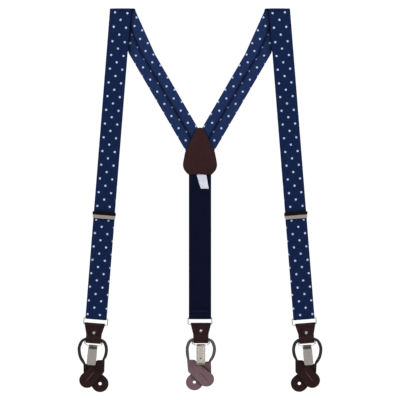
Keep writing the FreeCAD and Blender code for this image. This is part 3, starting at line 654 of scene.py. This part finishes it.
def dotted_fabric():
    """Woven cloth with dots: a dark face, and a paler reverse with a seam along its middle, darkened in and beside
    the seam as painted shade.
    """
    material, shader = new_material("dotted_fabric", 0.85, gloss=0.08)
    across, along, place = surface_place(material)
    reverse = stepped(attribute(material, "reverse"), 0.4, 0.6)
    weave = wave(across, 0.9) * wave(along, 0.9)
    cloud, fleck = noise(place, 0.05, 3.0), noise(place, 1.1)
    face_blue = blended(fleck, (0.0015, 0.0083, 0.042), (0.0085, 0.023, 0.088))
    back_blue = blended(fleck, (0.006, 0.018, 0.072), (0.019, 0.042, 0.140))
    blue = blended(cloud * 0.3, blended(reverse, face_blue, back_blue), (0.002, 0.006, 0.030))
    face_dots = lattice_dots(across, along, first=1.6, pitch=9.7, start=16.7, repeat=21.6, radius=1.65)
    back_dots = lattice_dots(across, along, first=-0.75, pitch=8.45, start=16.0, repeat=22.14, radius=1.6)
    dots = (face_dots * (1 - reverse) + back_dots * reverse) * (weave * 0.1 + 0.82)
    colour = blended(dots, blue, (0.60, 0.70, 0.94))
    # Painted shade: on the reverse the seam's groove is darkened, and a broad soft band beside it more faintly;
    # the seam mask also sinks the relief.
    off_seam = abs(across) - noise(place, 0.3) * 0.9
    seam, seam_side_shade = [stepped(off_seam, far, near) * reverse for far, near in ((1.7, 0.2), (5.0, 0.5))]
    for shade in (seam_side_shade * 0.35, seam * 0.9):
        colour = blended(shade, colour, (0.003, 0.006, 0.026))
    relief = weave + fleck * 1.6 - seam * 3.0 + dots * 0.8
    finish(shader, contact_shade(colour, 22 * MM, 0.2), relief, 0.12 * MM)
    return material


def elastic():
    """Plain ribbed elastic webbing."""
    material, shader = new_material("elastic", 0.85, gloss=0.05)
    across, along, place = surface_place(material)
    rib = abs(wave(across, 2.2))
    colour = blended(rib, (0.0014, 0.0022, 0.0110), (0.0034, 0.0056, 0.0215))
    colour = blended(noise(place, 0.08, 3.0) * 0.5, colour, (0.004, 0.006, 0.019))
    finish(shader, colour, rib + wave(along, 1.1) * 0.4, 0.15 * MM)
    return material


def leather(name, dark, light, roughness, grain):
    """Finished leather: pebbled grain, cloudy colour and a darker cut edge."""
    material, shader = new_material(name, roughness, gloss=0.14)
    _, _, place = surface_place(material)
    cloud, fine = noise(place, 0.12, 4.0), noise(place, 3.0, 3.0)
    colour = blended(stepped(fine, 0.45, 0.7) * 0.35, blended(cloud, dark, light), dark)
    rim = stepped(attribute(material, "edge"), 0.5 * MM, 0.05 * MM)
    colour = blended(rim * 0.6, colour, darker(dark, 0.35))
    feed(shader.inputs["Roughness"], fine * 0.2 + (roughness - 0.08))
    finish(shader, contact_shade(colour, 8 * MM), cells(place, grain) + fine * 0.5, 0.12 * MM)
    return material


def suede():
    """The napped flesh side that the back end's tabs show."""
    material, shader = new_material("suede", 0.95, gloss=0.1)
    _, _, place = surface_place(material)
    nap = noise(place, 1.6, 4.0, (1.0, 0.45, 1.0))
    colour = blended(nap, (0.125, 0.072, 0.085), (0.235, 0.150, 0.165))
    colour = blended(noise(place, 0.14, 3.0) * 0.45, colour, (0.115, 0.068, 0.080))
    rim = stepped(attribute(material, "edge"), 0.7 * MM, 0.1 * MM)
    colour = blended(rim * 0.5, colour, (0.045, 0.022, 0.026))
    finish(shader, contact_shade(colour, 8 * MM, 0.15), nap, 0.25 * MM)
    return material


def metal(name, colour, roughness, brush=(0.3, 1.0, 5.0), shaded_beyond=None):
    """Satin plating with fine brushing, small stains and scratches.

    The last argument is a (place, direction) beyond which the metal is painted dark, as shade.
    """
    material, shader = new_material(name, roughness, metallic=1.0)
    place = solid_place(material)
    brushing, stain = noise(place, 0.9, 3.0, brush), noise(place, 0.25, 3.0)
    scratch = stepped(noise(place, 0.5, 5.0, (0.4, 3.0, 6.0)), 0.62, 0.68)
    tinted = blended(stain * 0.4, colour, darker(colour, 0.72))
    tinted = blended(scratch * 0.25, tinted, darker(colour, 0.6))
    # Painted shade: beyond the plane the metal turns dark, for the shadowed hollow above the adjuster's lip.
    if shaded_beyond:
        origin, direction = shaded_beyond
        inputs = {0: place, 1: direction}
        reach = new_field(place.tree, "VectorMath", inputs, "Value", operation="DOT_PRODUCT")
        line, softness = origin.dot(direction) / MM, 0.1
        tinted = blended(stepped(reach, line - softness, line + softness), tinted, HINGE_SHADE_COLOUR)
    feed(shader.inputs["Roughness"], brushing * 0.2 + (roughness - 0.1))
    finish(shader, contact_shade(tinted, 2 * MM), brushing, 0.02 * MM)
    return material


def rubber():
    """Black rubber with a fine grain."""
    material, shader = new_material("rubber", 0.8)
    grain = noise(solid_place(material), 2.5, 3.0)
    finish(shader, blended(grain, (0.012, 0.012, 0.012), (0.035, 0.035, 0.035)), grain, 0.05 * MM)
    return material


def label_cloth():
    """Pale satin with a fine weave."""
    material, shader = new_material("label_cloth", 0.6)
    across, along, place = surface_place(material)
    colour = blended(noise(place, 0.2, 3.0), (0.66, 0.68, 0.74), (0.53, 0.55, 0.64))
    finish(shader, colour, wave(across, 0.5) * wave(along, 0.5), 0.04 * MM)
    return material


def thread(name, colour):
    """Twisted sewing thread."""
    material, shader = new_material(name, 0.7)
    across, along, place = surface_place(material)
    fuzz = noise(place, 4.0)
    finish(shader, blended(fuzz, colour, darker(colour, 0.5)), wave(across + along, 0.35), 0.05 * MM)
    return material


FABRIC = dotted_fabric()
ELASTIC = elastic()
BROWN = leather("brown_leather", (0.012, 0.0036, 0.0044), (0.028, 0.0080, 0.0092), 0.5, 1.1)
YOKE_BROWN = leather("yoke_leather", (0.020, 0.0056, 0.0064), (0.037, 0.0105, 0.0115), 0.5, 1.0)
CORD_BROWN = leather("cord_leather", (0.015, 0.0135, 0.0142), (0.036, 0.031, 0.032), 0.6, 1.4)
# Pale leather painted as the highlight along the raised lip of a front slit.
SLIT_LIP_HIGHLIGHT = leather("slit_lip_highlight_leather", (0.085, 0.040, 0.042), (0.150, 0.080, 0.082), 0.8, 2.0)
CORD_GREY = leather("grey_cord_leather", (0.062, 0.058, 0.061), (0.120, 0.112, 0.118), 0.7, 1.4)
SUEDE = suede()
NICKEL_COLOUR = (0.81, 0.745, 0.70)
# The painted shade colour of the hollow above the adjuster's lip.
HINGE_SHADE_COLOUR = (0.022, 0.014, 0.013)
NICKEL = metal("nickel", NICKEL_COLOUR, 0.34)
BRIGHT_NICKEL = metal("bright_nickel", (0.88, 0.82, 0.76), 0.42)
WARM_NICKEL = metal("warm_nickel", (0.89, 0.83, 0.74), 0.40)
# Dark steel for the jaw and spring; the same dark metal is painted as shade on the clip's rolled top, its inside
# and the rib's hole.
DARK_STEEL_AND_SHADE = metal("dark_steel", (0.22, 0.21, 0.20), 0.38, (1.0, 1.0, 3.0))
RUBBER = rubber()
LABEL = label_cloth()
BROWN_THREAD = thread("brown_thread", (0.050, 0.020, 0.020))
NAVY_THREAD = thread("navy_thread", (0.012, 0.022, 0.075))


# Sizes that the frame does not state

STRAP_THICK = 1.4 * MM
LEATHER = 1.6 * MM
CORD_RADIUS = 2.2 * MM
RING_TURN = 1.7 * MM
BAR_TURN = 1.6 * MM


def ride_and_replace(piece, body, *nodes):
    """Puts a piece on a body, in place of these CAD nodes."""
    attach(piece, body)
    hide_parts(*nodes)


# Straps


def strap_frame(side):
    """On the shoulder fold's hinge line, with -Z down along the front strap."""
    across, up = axis(f"{side}_ring_swing"), axis(f"{side}_adjuster_slide")
    return local_frame(pivot(f"{side}_shoulder_fold"), across, up)


def fold_radius(side):
    """The radius of the fold over the shoulder, in the middle of the cloth."""
    _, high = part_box(f"{side}_back_strap")
    return high.z - pivot(f"{side}_shoulder_fold").z - STRAP_THICK / 2


def front_width(side):
    """The front strap's width across its grain, cut well below the shoulder."""
    lean = math.acos(axis(f"{side}_adjuster_slide").z)
    below_shoulder = 100 * MM
    low, high = sliced(f"{side}_front_strap", pivot(f"{side}_shoulder_fold").z - below_shoulder)
    return (high - low) * math.cos(lean)


def front_section(side, depth, distance):
    """The outer and inner ends and the lean of the front strap's section at a distance down it."""
    matrix = strap_frame(side)
    straightening_length = 40 * MM
    straightened = smoothstep(distance / straightening_length)
    square = matrix.col[0].to_3d()
    direction = (WORLD_X * (1 - straightened) + square * straightened).normalized()
    lean = direction.angle(square) if direction.angle(square) > 1e-6 else 0.0
    half = front_width(side) / 2 / math.cos(lean)
    centre = matrix @ Vector((0, depth, -distance))
    outward = direction * SIDES[side]
    return centre + outward * half, centre - outward * half, lean


def pattern_drift(along):
    """How the dots wander off the strap's grain, as the cloth was cut and pulled."""
    slant = 0.0115
    crowding, crowded_length = 2.6 * MM, 50 * MM
    pull, pull_start, pull_length = 2.5 * MM, 320 * MM, 130 * MM
    crowded = crowding * (1 - smoothstep(along / crowded_length))
    pulled = pull * smoothstep((along - pull_start) / pull_length)
    return slant * max(along, 0.0), crowded + pulled


def front_strap(side):
    """The dotted front of a strap, from the shoulder fold to its turn round the ring."""
    matrix = strap_frame(side)
    ring = matrix.inverted() @ pivot(f"{side}_ring_swing")
    depth = -fold_radius(side)
    normal = -matrix.col[1].to_3d()
    width = front_width(side)
    section_count = 97
    stations = []
    for distance in np.linspace(0, -ring.z, section_count):
        outer, inner, lean = front_section(side, depth, distance)
        stations.append((outer, inner, normal, distance + width / 2 * math.sin(lean), lean))
    turn = arc((ring.y, ring.z), RING_TURN, 180, 360, 12)
    rounded = path_stations(matrix, turn, lambda height: width / 2, -ring.z, outside=-1)
    if side == "right":
        rounded = [(inner, outer, *rest) for outer, inner, *rest in rounded]
    stations += rounded[1:]
    name = f"{side}_front_strap_cloth"
    piece = band(name, stations, STRAP_THICK, width, FABRIC, ripple=0.15 * MM, drift=pattern_drift)
    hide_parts(f"{side}_front_strap")
    pivot(f"{side}_shoulder_fold")
    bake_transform(piece)


def strap_return(side):
    """The strap's end: up behind the front layer, round the adjuster's bar and hemmed."""
    matrix = strap_frame(side)
    ring = matrix.inverted() @ pivot(f"{side}_ring_swing")
    _, high = local_box(f"{side}_strap_return", matrix)
    bar = high.z - BAR_TURN - STRAP_THICK / 2
    layer = ring.y + RING_TURN
    hem, hem_seam, approach, steps = 13.5 * MM, 10.5 * MM, 4 * MM, 5
    path = [(layer, height) for height in np.linspace(ring.z, bar - 5 * MM, 40)]
    for step in range(1, steps):
        share = step / steps
        path.append((layer - BAR_TURN * smoothstep(share), bar - approach * (1 - share)))
    path += arc((layer, bar), BAR_TURN, 180, 0, 10)
    path += [(layer + BAR_TURN * 0.95, bar - hem * step / 6) for step in range(1, 7)]
    half = front_width(side) / 2
    stations = path_stations(matrix, path, lambda height: half)
    name = f"{side}_strap_return_cloth"
    piece = band(name, stations, STRAP_THICK, half * 2, FABRIC, ripple=0.1 * MM)
    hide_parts(f"{side}_strap_return")
    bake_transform(piece)
    face, margin = layer + BAR_TURN + STRAP_THICK / 2, 2 * MM
    seam = [matrix @ Vector((across, face, bar - hem_seam)) for across in (margin - half, half - margin)]
    row = stitches(f"{side}_hem_stitches", seam, matrix.col[1].to_3d(), NAVY_THREAD)
    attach(row, f"{side}_adjuster")


def back_strap(side):
    """The strap from the yoke up to the shoulder and over it, showing its seamed reverse inside."""
    node, hand = f"{side}_back_strap", SIDES[side]
    low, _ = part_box(node)
    crest = pivot(f"{side}_shoulder_fold")
    radius = fold_radius(side)
    layer = crest.y + radius
    slope_reach = 18 * MM
    top, foot = crest.z - 0.05 * MM, low.z + 0.05 * MM

    def edges(height):
        ends = sliced(node, min(max(height, foot), top))
        return (ends[0], ends[1]) if hand < 0 else (ends[1], ends[0])

    def lean_at(height):
        above, below = min(height + slope_reach, top), max(height - slope_reach, foot)
        return math.atan((edges(above)[0] - edges(below)[0]) * hand / (above - below))

    measured = 80 * MM
    width = abs(edges(measured)[1] - edges(measured)[0]) * math.cos(lean_at(measured))
    crest_outer, crest_inner = edges(top)
    front_outer, front_inner, front_lean = front_section(side, -radius, 0.0)
    stations = []
    heights = np.linspace(foot, top, 60)
    lengths = [0.0]
    for before, after in zip(heights, heights[1:]):
        lengths.append(lengths[-1] + math.hypot(after - before, edges(after)[0] - edges(before)[0]))
    lead = width / 2 * math.sin(front_lean) - math.pi * radius
    for height, length in zip(heights, lengths):
        outer, inner = edges(height)
        ends = [Vector((across, layer, height)) for across in (outer, inner)]
        stations.append((*ends, WORLD_Y, lead - lengths[-1] + length, lean_at(height)))
    steps, crest_rise = 14, 0.8 * MM
    for step in range(1, steps + 1):
        share = step / steps
        angle = math.pi * share
        offset = Vector((0, radius * math.cos(angle), (radius + crest_rise) * math.sin(angle)))
        normal = Vector((0, math.cos(angle), math.sin(angle)))
        outer = crest_outer + (front_outer.x - crest_outer) * smoothstep(share)
        inner = crest_inner + (front_inner.x - crest_inner) * smoothstep(share) ** 2
        lean = lean_at(top) + (front_lean - lean_at(top)) * smoothstep(share)
        ends = [Vector((across, crest.y, crest.z)) + offset for across in (outer, inner)]
        stations.append((*ends, normal, lead + math.pi * radius * share, lean))
    looks = {"ripple": 0.25 * MM, "seam": 0.55 * MM, "drift": pattern_drift}
    piece = band(f"{side}_back_strap_cloth", stations, STRAP_THICK, width, FABRIC, **looks)
    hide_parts(node)
    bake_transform(piece)


def back_elastic():
    """The plain elastic from the yoke to its sewn loop round the ring."""
    low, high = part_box("back_elastic")
    ring = pivot("back_ring_swing")
    _, loop_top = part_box("back_elastic_loop")
    layer = (low.y + high.y) / 2
    half = (high.x - low.x) / 2
    path = [(layer, height) for height in np.linspace(high.z, ring.z, 60)]
    path += arc((ring.y, ring.z), RING_TURN, 0, -180, 12)[1:]
    path += [(ring.y - RING_TURN, ring.z + (loop_top.z - ring.z) * step / 5) for step in range(1, 6)]
    stations = path_stations(Matrix.Identity(4), path, lambda height: half)
    piece = band("back_elastic_band", stations, STRAP_THICK, half * 2, ELASTIC, ripple=0.1 * MM)
    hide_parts("back_elastic", "back_elastic_loop")
    unstretched, margin, seam_drop = 16 * MM, 3 * MM, 2 * MM
    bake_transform(piece)
    for name, depth, normal in (("inner", -1, -WORLD_Y), ("outer", 1, WORLD_Y)):
        face, height = ring.y + depth * (RING_TURN + STRAP_THICK / 2), loop_top.z - seam_drop
        seam = [Vector((across, face, height)) for across in (margin - half, half - margin)]
        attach(stitches(f"back_loop_stitches_{name}", seam, normal, NAVY_THREAD), "back_foot")


# Yoke and label


def yoke_patch(node, facing):
    """One leather side of the yoke, embossed and stitched along its edge."""
    matrix = local_frame(Vector(), WORLD_X * -facing, WORLD_Z)
    low, high = local_box(node, matrix)
    outline = refined_loop(flat_loops(node, matrix, WORLD_Y * facing)[0], 0.9 * MM)
    seam_gap, swell_height, swell_reach = 2.1 * MM, 0.45 * MM, 9 * MM

    def swell(x, z, way, to_edge):
        over_straps = smoothstep((to_edge - seam_gap) / swell_reach)
        return -swell_height * over_straps if way < 0 else 0.0

    piece = plate(f"{node}_leather", [outline], matrix, low.y, high.y, YOKE_BROWN, edge=0.9 * MM,
                  spacing=1.8 * MM, groove=(seam_gap, 0.4 * MM), shape=swell)
    ride_and_replace(piece, "back", node)
    sewn = inset(np.array([(point.x, point.y) for point in outline]), seam_gap)
    proud = 0.02 * MM
    seam = [matrix @ Vector((x, low.y - proud, z)) for x, z in sewn]
    row = stitches(f"{node}_stitches", seam + seam[:1], WORLD_Y * facing, BROWN_THREAD)
    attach(row, "back")


def care_label():
    """A blank satin label, hanging askew and curled a little off the elastic."""
    low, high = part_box("care_label")
    depth = (low.y + high.y) / 2
    inset_end, curl, wave_height, wave_turn = 0.05 * MM, 1.6 * MM, 0.35 * MM, 9
    steps = 22
    stations = []
    for step in range(steps + 1):
        share = step / steps
        height = high.z - inset_end - (high.z - low.z - 2 * inset_end) * share
        left, right = sliced("care_label", height)
        lift = curl * share**2 + wave_height * math.sin(share * wave_turn)
        ends = (Vector((left, depth - lift * 0.5, height)), Vector((right, depth - lift * 1.3, height)))
        stations.append((*ends, -WORLD_Y, share * (high.z - low.z), 0.0))
    thickness, width = 0.3 * MM, 14 * MM
    piece = band("care_label_cloth", stations, thickness, width, LABEL, ripple=0.1 * MM)
    ride_and_replace(piece, "back", "care_label")


# The three ends


def end_up(end):
    """The direction that leads up an end's strap."""
    return WORLD_Z if end == "back" else axis(f"{end}_adjuster_slide")


def hung_frame(end):
    """In the leather tab's tunnel, with Z up the strap and -Y to the end's face side."""
    return local_frame(pivot(f"{end}_cord_swing"), axis(f"{end}_ring_swing"), end_up(end))


def leather_tab(end):
    """The strip folded over the ring, riveted, and folded again round the cord and the bail."""
    matrix = hung_frame(end)
    node = f"{end}_leather_tab"
    low, high = local_box(node, matrix)
    bar = (matrix.inverted() @ pivot(f"{end}_tab_swing")).z
    rivet_low, rivet_high = local_box(f"{end}_rivet", matrix)
    rivet = (rivet_low.z + rivet_high.z) / 2
    flare = rivet - 4 * MM
    top_radius, foot_radius = high.z - bar - LEATHER / 2, high.y - LEATHER / 2
    foot = low.z + high.y
    heights = np.linspace(low.z + 0.1 * MM, high.z - 0.1 * MM, 60)
    widths = half_widths(node, matrix, heights)

    def half(height):
        return float(np.interp(height, heights, widths))

    closing = 3 * MM
    down = [(top_radius - (top_radius - LEATHER) * smoothstep((bar - z) / closing), z)
            for z in np.linspace(bar, flare, 14)]
    down += [(LEATHER + (foot_radius - LEATHER) * smoothstep((flare - z) / flare), z)
             for z in np.linspace(flare, foot, 12)[1:]]
    path = arc((0, bar), top_radius, 0, 180, 12)[:-1] + [(-depth, z) for depth, z in down]
    path += arc((0, foot), foot_radius, 180, 360, 14)[1:-1] + down[::-1][:-1]
    stations = path_stations(matrix, path, half)
    piece = band(f"{end}_tab_leather", stations, LEATHER, half(flare) * 2, BROWN)
    ride_and_replace(piece, f"{end}_leather", node)
    under_ring = bar - top_radius - 1.2 * MM
    tab_core(end, under_ring, foot_radius, half, half(flare) * 2)
    tab_flap(end, rivet, flare)


def tab_core(end, top, foot, half, width):
    """The leather between the tab's two leaves, a little narrower than they are."""
    narrowing = 0.35 * MM
    path = [(0, z) for z in np.linspace(top, foot, 12)]
    stations = path_stations(hung_frame(end), path, lambda height: half(height) - narrowing)
    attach(band(f"{end}_tab_core", stations, LEATHER, width, BROWN), f"{end}_leather")


def tab_flap(end, rivet, flare):
    """The round-topped flap that the rivet holds on the tab's face."""
    half, rise, root = 7.8 * MM, 9.6 * MM, flare + 1 * MM
    crown = arc((0, rivet + rise - half), half, 0, 180, 24)
    outline = refined_loop(crown + [(-half * 0.9, root), (half * 0.9, root)], 0.8 * MM)
    face = -1.5 * LEATHER
    flap = plate(f"{end}_tab_flap", [outline], hung_frame(end), face - 0.8 * MM, face + 0.2 * MM, BROWN,
                 edge=0.5 * MM, spacing=1.6 * MM, groove=(1.3 * MM, 0.2 * MM))
    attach(flap, f"{end}_leather")


def cord_frame(end):
    """In the tunnel, with -Z down in the plane that the cord hangs in."""
    origin = pivot(f"{end}_cord_swing")
    return local_frame(origin, axis(f"{end}_ring_swing"), origin - pivot(f"{end}_slit_tab_swing"))


def cord_side(end, tab):
    """The cord's knots from the tunnel down into one button tab, in the cord's frame."""
    matrix = cord_frame(end)
    foot = matrix.inverted() @ pivot(f"{end}_{tab}_tab_swing")
    low, high = local_box(f"{end}_cord_loop", matrix)
    way, across = math.copysign(1, foot.x), abs(foot.x)
    widest, belly = (high.x - low.x) / 2 - CORD_RADIUS, 18.2 * MM
    tunnel = [(10.6 * MM, 0), (12.6 * MM, 0)]
    shoulder = [(17.7 * MM, -3.5 * MM), (widest - 0.4 * MM, -belly * 0.62)]
    below = (across + (widest - across) * 0.72, (foot.z - belly) / 2)
    tip_length = 2.2 * MM
    into_tab = Vector((across - below[0], foot.z - below[1])).normalized() * tip_length
    tip = (across + into_tab.x, foot.z + into_tab.y)
    knots = tunnel + shoulder + [(widest, -belly), below, (across, foot.z), tip]
    return [Vector((way * x, 0, z)) for x, z in knots]


def cord(end):
    """The rolled leather cord, fuller where it is loose and thinner where it is sewn into the tabs."""
    matrix = cord_frame(end)
    knots = cord_side(end, "slit")[::-1] + [Vector((0, 0, 0))] + cord_side(end, "holed")
    path = curve_through([matrix @ knot for knot in knots], 1.1 * MM)
    sewn_share, tunnel_share, easing_share = 0.045, 0.13, 0.04
    fullness, sewn_thickness = 0.3 * MM, 0.55

    def radius(share):
        off_tip = min(share, 1 - share) / sewn_share
        loose = smoothstep((abs(share - 0.5) - tunnel_share) / easing_share) * smoothstep(off_tip - 1)
        thickness = sewn_thickness + (1 - sewn_thickness) * smoothstep(off_tip)
        return (CORD_RADIUS + fullness * loose) * thickness

    leather_used = CORD_GREY if end == "back" else CORD_BROWN
    piece = tube(f"{end}_cord", path, radius, leather_used, 24, seam=0.35 * MM)
    ride_and_replace(piece, f"{end}_cord", f"{end}_cord_loop")


def closed_up(loop, share):
    """A slit's outline with its two lips drawn together."""
    points = np.array(loop)
    centre = points.mean(0)
    across = np.linalg.svd(points - centre)[2][1]
    apart = (points - centre) @ across
    return [Vector(point) for point in points - np.outer(apart, across) * (1 - share)]


def button_tab(end, tab):
    """A soft two-sided tab, grain outside and suede inside, swollen where the cord is sewn in."""
    matrix = cord_frame(end)
    node = f"{end}_button_tab_{tab}"
    low, high = local_box(node, matrix)
    outline, opening = flat_loops(node, matrix, -matrix.col[1].to_3d())[:2]
    if tab == "slit":
        opening = closed_up(opening, 0.06 if end == "back" else 0.4)
    loops = [refined_loop(outline, 0.9 * MM, corner_radius=1.6 * MM), refined_loop(opening, 0.7 * MM)]
    top, tip = cord_side(end, tab)[-2:]
    heading = (tip - top).normalized()
    sleeve_depth, sleeve_half, sleeve_length = CORD_RADIUS + 0.8 * MM, 2.6 * MM, 7.5 * MM
    curl_depth, curl_length = 1.1 * MM, 45 * MM

    def swell(x, z, way, to_edge):
        from_top = Vector((x - top.x, 0, z - top.z))
        down = from_top.dot(heading)
        off = (from_top - heading * down).length
        share = math.exp(-((off / sleeve_half) ** 2)) * (1 - smoothstep((down + 1 * MM) / sleeve_length))
        surface = low.y if way < 0 else high.y
        curl = -curl_depth * smoothstep((top.z - z) / curl_length) ** 2
        return (way * sleeve_depth - surface) * share + curl

    piece = plate(f"{node}_leather", loops, matrix, low.y, high.y, BROWN, edge=0.6 * MM,
                  spacing=1.5 * MM, groove=(1.7 * MM, 0.22 * MM), shape=swell)
    piece.data.materials.append(SUEDE)
    reverse = piece.data.attributes["reverse"].data
    for polygon in piece.data.polygons:
        if all(reverse[index].value > 0.5 for index in polygon.vertices):
            polygon.material_index = 1
    ride_and_replace(piece, f"{end}_{tab}_tab", node)
    if tab == "slit" and end != "back":
        # The slit's raised lip, coloured pale as a painted highlight.
        lip_radius = 0.4 * MM
        lip = [matrix @ Vector((x, low.y + swell(x, z, -1, 0), z)) for x, z in loops[1]]
        edge = tube(f"{node}_slit_edge", lip + lip[:1], lambda share: lip_radius, SLIT_LIP_HIGHLIGHT, 8)
        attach(edge, f"{end}_{tab}_tab")


def clip_frame(end):
    """On the clip's swing, with Z up out of its jaws and its back plate on the +Y side."""
    up = -Vector(MOUNTS[f"{end}_clip_jaws"]["axis"])
    return local_frame(pivot(f"{end}_clip_swing"), axis(f"{end}_ring_swing"), up)


def clip_rib(end):
    """The pressed panel on the outside of the clip's back plate, with its punched hole and a dark disc in it as
    painted shade.
    """
    matrix = clip_frame(end)
    low, high = local_box(f"{end}_clip_body", matrix)
    half, top, foot, hole_radius = 4.6 * MM, -2.6 * MM, low.z + 1.6 * MM, 1.4 * MM
    rounded_foot = arc((0, foot + half), half, 180, 360, 24)
    outline = refined_loop(rounded_foot + [(half, top), (-half, top)], 0.6 * MM)
    hole = refined_loop(arc((0, foot + half), hole_radius, 0, 330, 11), 0.3 * MM)
    turned = local_frame(matrix.translation, -matrix.col[0].to_3d(), matrix.col[2].to_3d())
    face = -high.y
    rib = plate(f"{end}_clip_rib", [outline, hole], turned, face - 0.7 * MM, face + 0.2 * MM, WARM_NICKEL,
                edge=0.5 * MM, spacing=1.4 * MM)
    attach(rib, f"{end}_clip")
    # Painted shade: a dark disc fills the hole's floor.
    hole_shade = plate(f"{end}_clip_hole_shade", [hole], turned, face - 0.15 * MM, face + 0.1 * MM, DARK_STEEL_AND_SHADE,
                    edge=0.1 * MM, spacing=1.0 * MM)
    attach(hole_shade, f"{end}_clip")


def paint(node, *materials):
    """Gives a CAD node its materials in place of its own, and returns its mesh."""
    mesh = frame["nodes"][node].data
    mesh.materials.clear()
    for material in materials:
        mesh.materials.append(material)
    return mesh


def paint_clip(end):
    """Nickel outside; the rolled top and the inside of the clip are painted dark, as shade."""
    for part in ("ring", "rivet", "rivet_burr", "clip_bail", "clip_pins", "clip_lever"):
        paint(f"{end}_{part}", NICKEL)
    paint(f"{end}_clip_jaw", DARK_STEEL_AND_SHADE)
    paint(f"{end}_clip_spring", DARK_STEEL_AND_SHADE)
    paint(f"{end}_clip_grip", RUBBER)
    matrix = clip_frame(end)
    inverse, inward = matrix.inverted(), -matrix.col[1].to_3d()
    roll_foot = -0.8 * MM
    # Painted shade: faces on the rolled top and faces looking into the clip get the dark metal.
    mesh = paint(f"{end}_clip_body", BRIGHT_NICKEL, DARK_STEEL_AND_SHADE)
    for polygon in mesh.polygons:
        rolled = (inverse @ polygon.center).z > roll_foot
        polygon.material_index = int(rolled or polygon.normal.dot(inward) > 0.9)


def paint_adjuster(side):
    """Satin on the lower bar; the hinge above its lip is painted dark, as the shade in the hollow there."""
    hinge, up = pivot(f"{side}_adjuster_cover_hinge"), axis(f"{side}_adjuster_slide")
    lip_drop = 3.4 * MM
    # The hinge above the lip is painted dark as shade; the bar below stays satin nickel.
    plating = metal(f"{side}_adjuster_plating_and_hinge_shade", NICKEL_COLOUR, 0.34, shaded_beyond=(hinge - up * lip_drop, up))
    for part in ("frame", "pin", "cover"):
        paint(f"{side}_adjuster_{part}", plating)


for side_name in SIDES:
    front_strap(side_name)
    strap_return(side_name)
    back_strap(side_name)
    paint_adjuster(side_name)
back_elastic()
yoke_patch("yoke_inner_patch", -1)
yoke_patch("yoke_outer_patch", 1)
care_label()
for end_name in ENDS:
    leather_tab(end_name)
    cord(end_name)
    button_tab(end_name, "slit")
    button_tab(end_name, "holed")
    clip_rib(end_name)
    paint_clip(end_name)


# Stage, light and camera


def floor():
    """A pale floor below the suspenders that fades out with distance."""
    mesh = bpy.data.meshes.new("floor")
    low, _ = cad_bounds
    reach, drop = 1.5, 0.37
    ends = ((-1, -1), (1, -1), (1, 1), (-1, 1))
    mesh.from_pydata([(x * reach, y * reach, low.z - drop) for x, y in ends], [], [(0, 1, 2, 3)])
    material, shader = new_material("floor_paint", 0.9)
    place = new_field(material.node_tree, "TexCoord", {}, "Object")
    colour = blended(noise(place, 1.5), (0.80, 0.80, 0.79), (0.84, 0.84, 0.83))
    away = new_field(place.tree, "VectorMath", {0: place}, "Value", operation="LENGTH")
    feed(shader.inputs["Base Color"], colour)
    feed(shader.inputs["Alpha"], stepped(away, reach, reach * 0.5))
    mesh.materials.append(material)
    plane = bpy.data.objects.new("floor", mesh)
    bpy.context.scene.collection.objects.link(plane)
    plane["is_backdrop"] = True


def world_light():
    """A white sweep behind the suspenders and a dim room on the camera's side."""
    world = bpy.data.worlds.new("studio")
    world.use_nodes = True
    bpy.context.scene.world = world
    tree = world.node_tree
    background = tree.nodes["Background"]
    background.inputs["Color"].default_value = (1, 1, 1, 1)
    room, sweep, seen_white = 0.28, 0.95, 1.05
    away = new_field(tree, "SeparateXYZ", {0: new_field(tree, "TexCoord", {}, "Generated")}, "Y")
    light = stepped(away, -0.7, 0.6) * (sweep - room) + room
    seen = new_field(tree, "LightPath", {}, "Is Camera Ray") * seen_white
    feed(background.inputs["Strength"], calc("MAXIMUM", light, seen))


def soft_lamp(name, place, size, power):
    """A square lamp in metres and watts, aimed at the origin."""
    data = bpy.data.lights.new(name, "AREA")
    data.size = size
    data.energy = power
    lamp = bpy.data.objects.new(name, data)
    lamp.location = place
    lamp.rotation_euler = (-Vector(place)).to_track_quat("-Z", "Y").to_euler()
    bpy.context.scene.collection.objects.link(lamp)


def camera():
    """Straight on, far enough to frame the suspenders as a 100 mm lens sees them."""
    low, high = cad_bounds
    centre = (low + high) / 2
    data = bpy.data.cameras.new("camera")
    data.lens = 100
    view_width, lift = 0.628, 1.4 * MM
    viewer = bpy.data.objects.new("camera", data)
    viewer.location = (0, -view_width * data.lens / data.sensor_width, centre.z + lift)
    viewer.rotation_euler = (math.radians(90), 0, 0)
    bpy.context.scene.collection.objects.link(viewer)
    bpy.context.scene.camera = viewer


floor()
world_light()
soft_lamp("key_lamp", (-1.3, -1.3, 1.2), size=0.9, power=34)
soft_lamp("fill_lamp", (1.5, -1.2, 0.7), size=1.1, power=24)
soft_lamp("back_lamp", (0.6, 1.8, 1.2), size=1.5, power=16)
camera()
bpy.context.scene.view_settings.view_transform = "Standard"

all_bounds = {"cad": cad_bounds, "visual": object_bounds()}
boxes = {label: [list(corner) for corner in bounds] for label, bounds in all_bounds.items()}
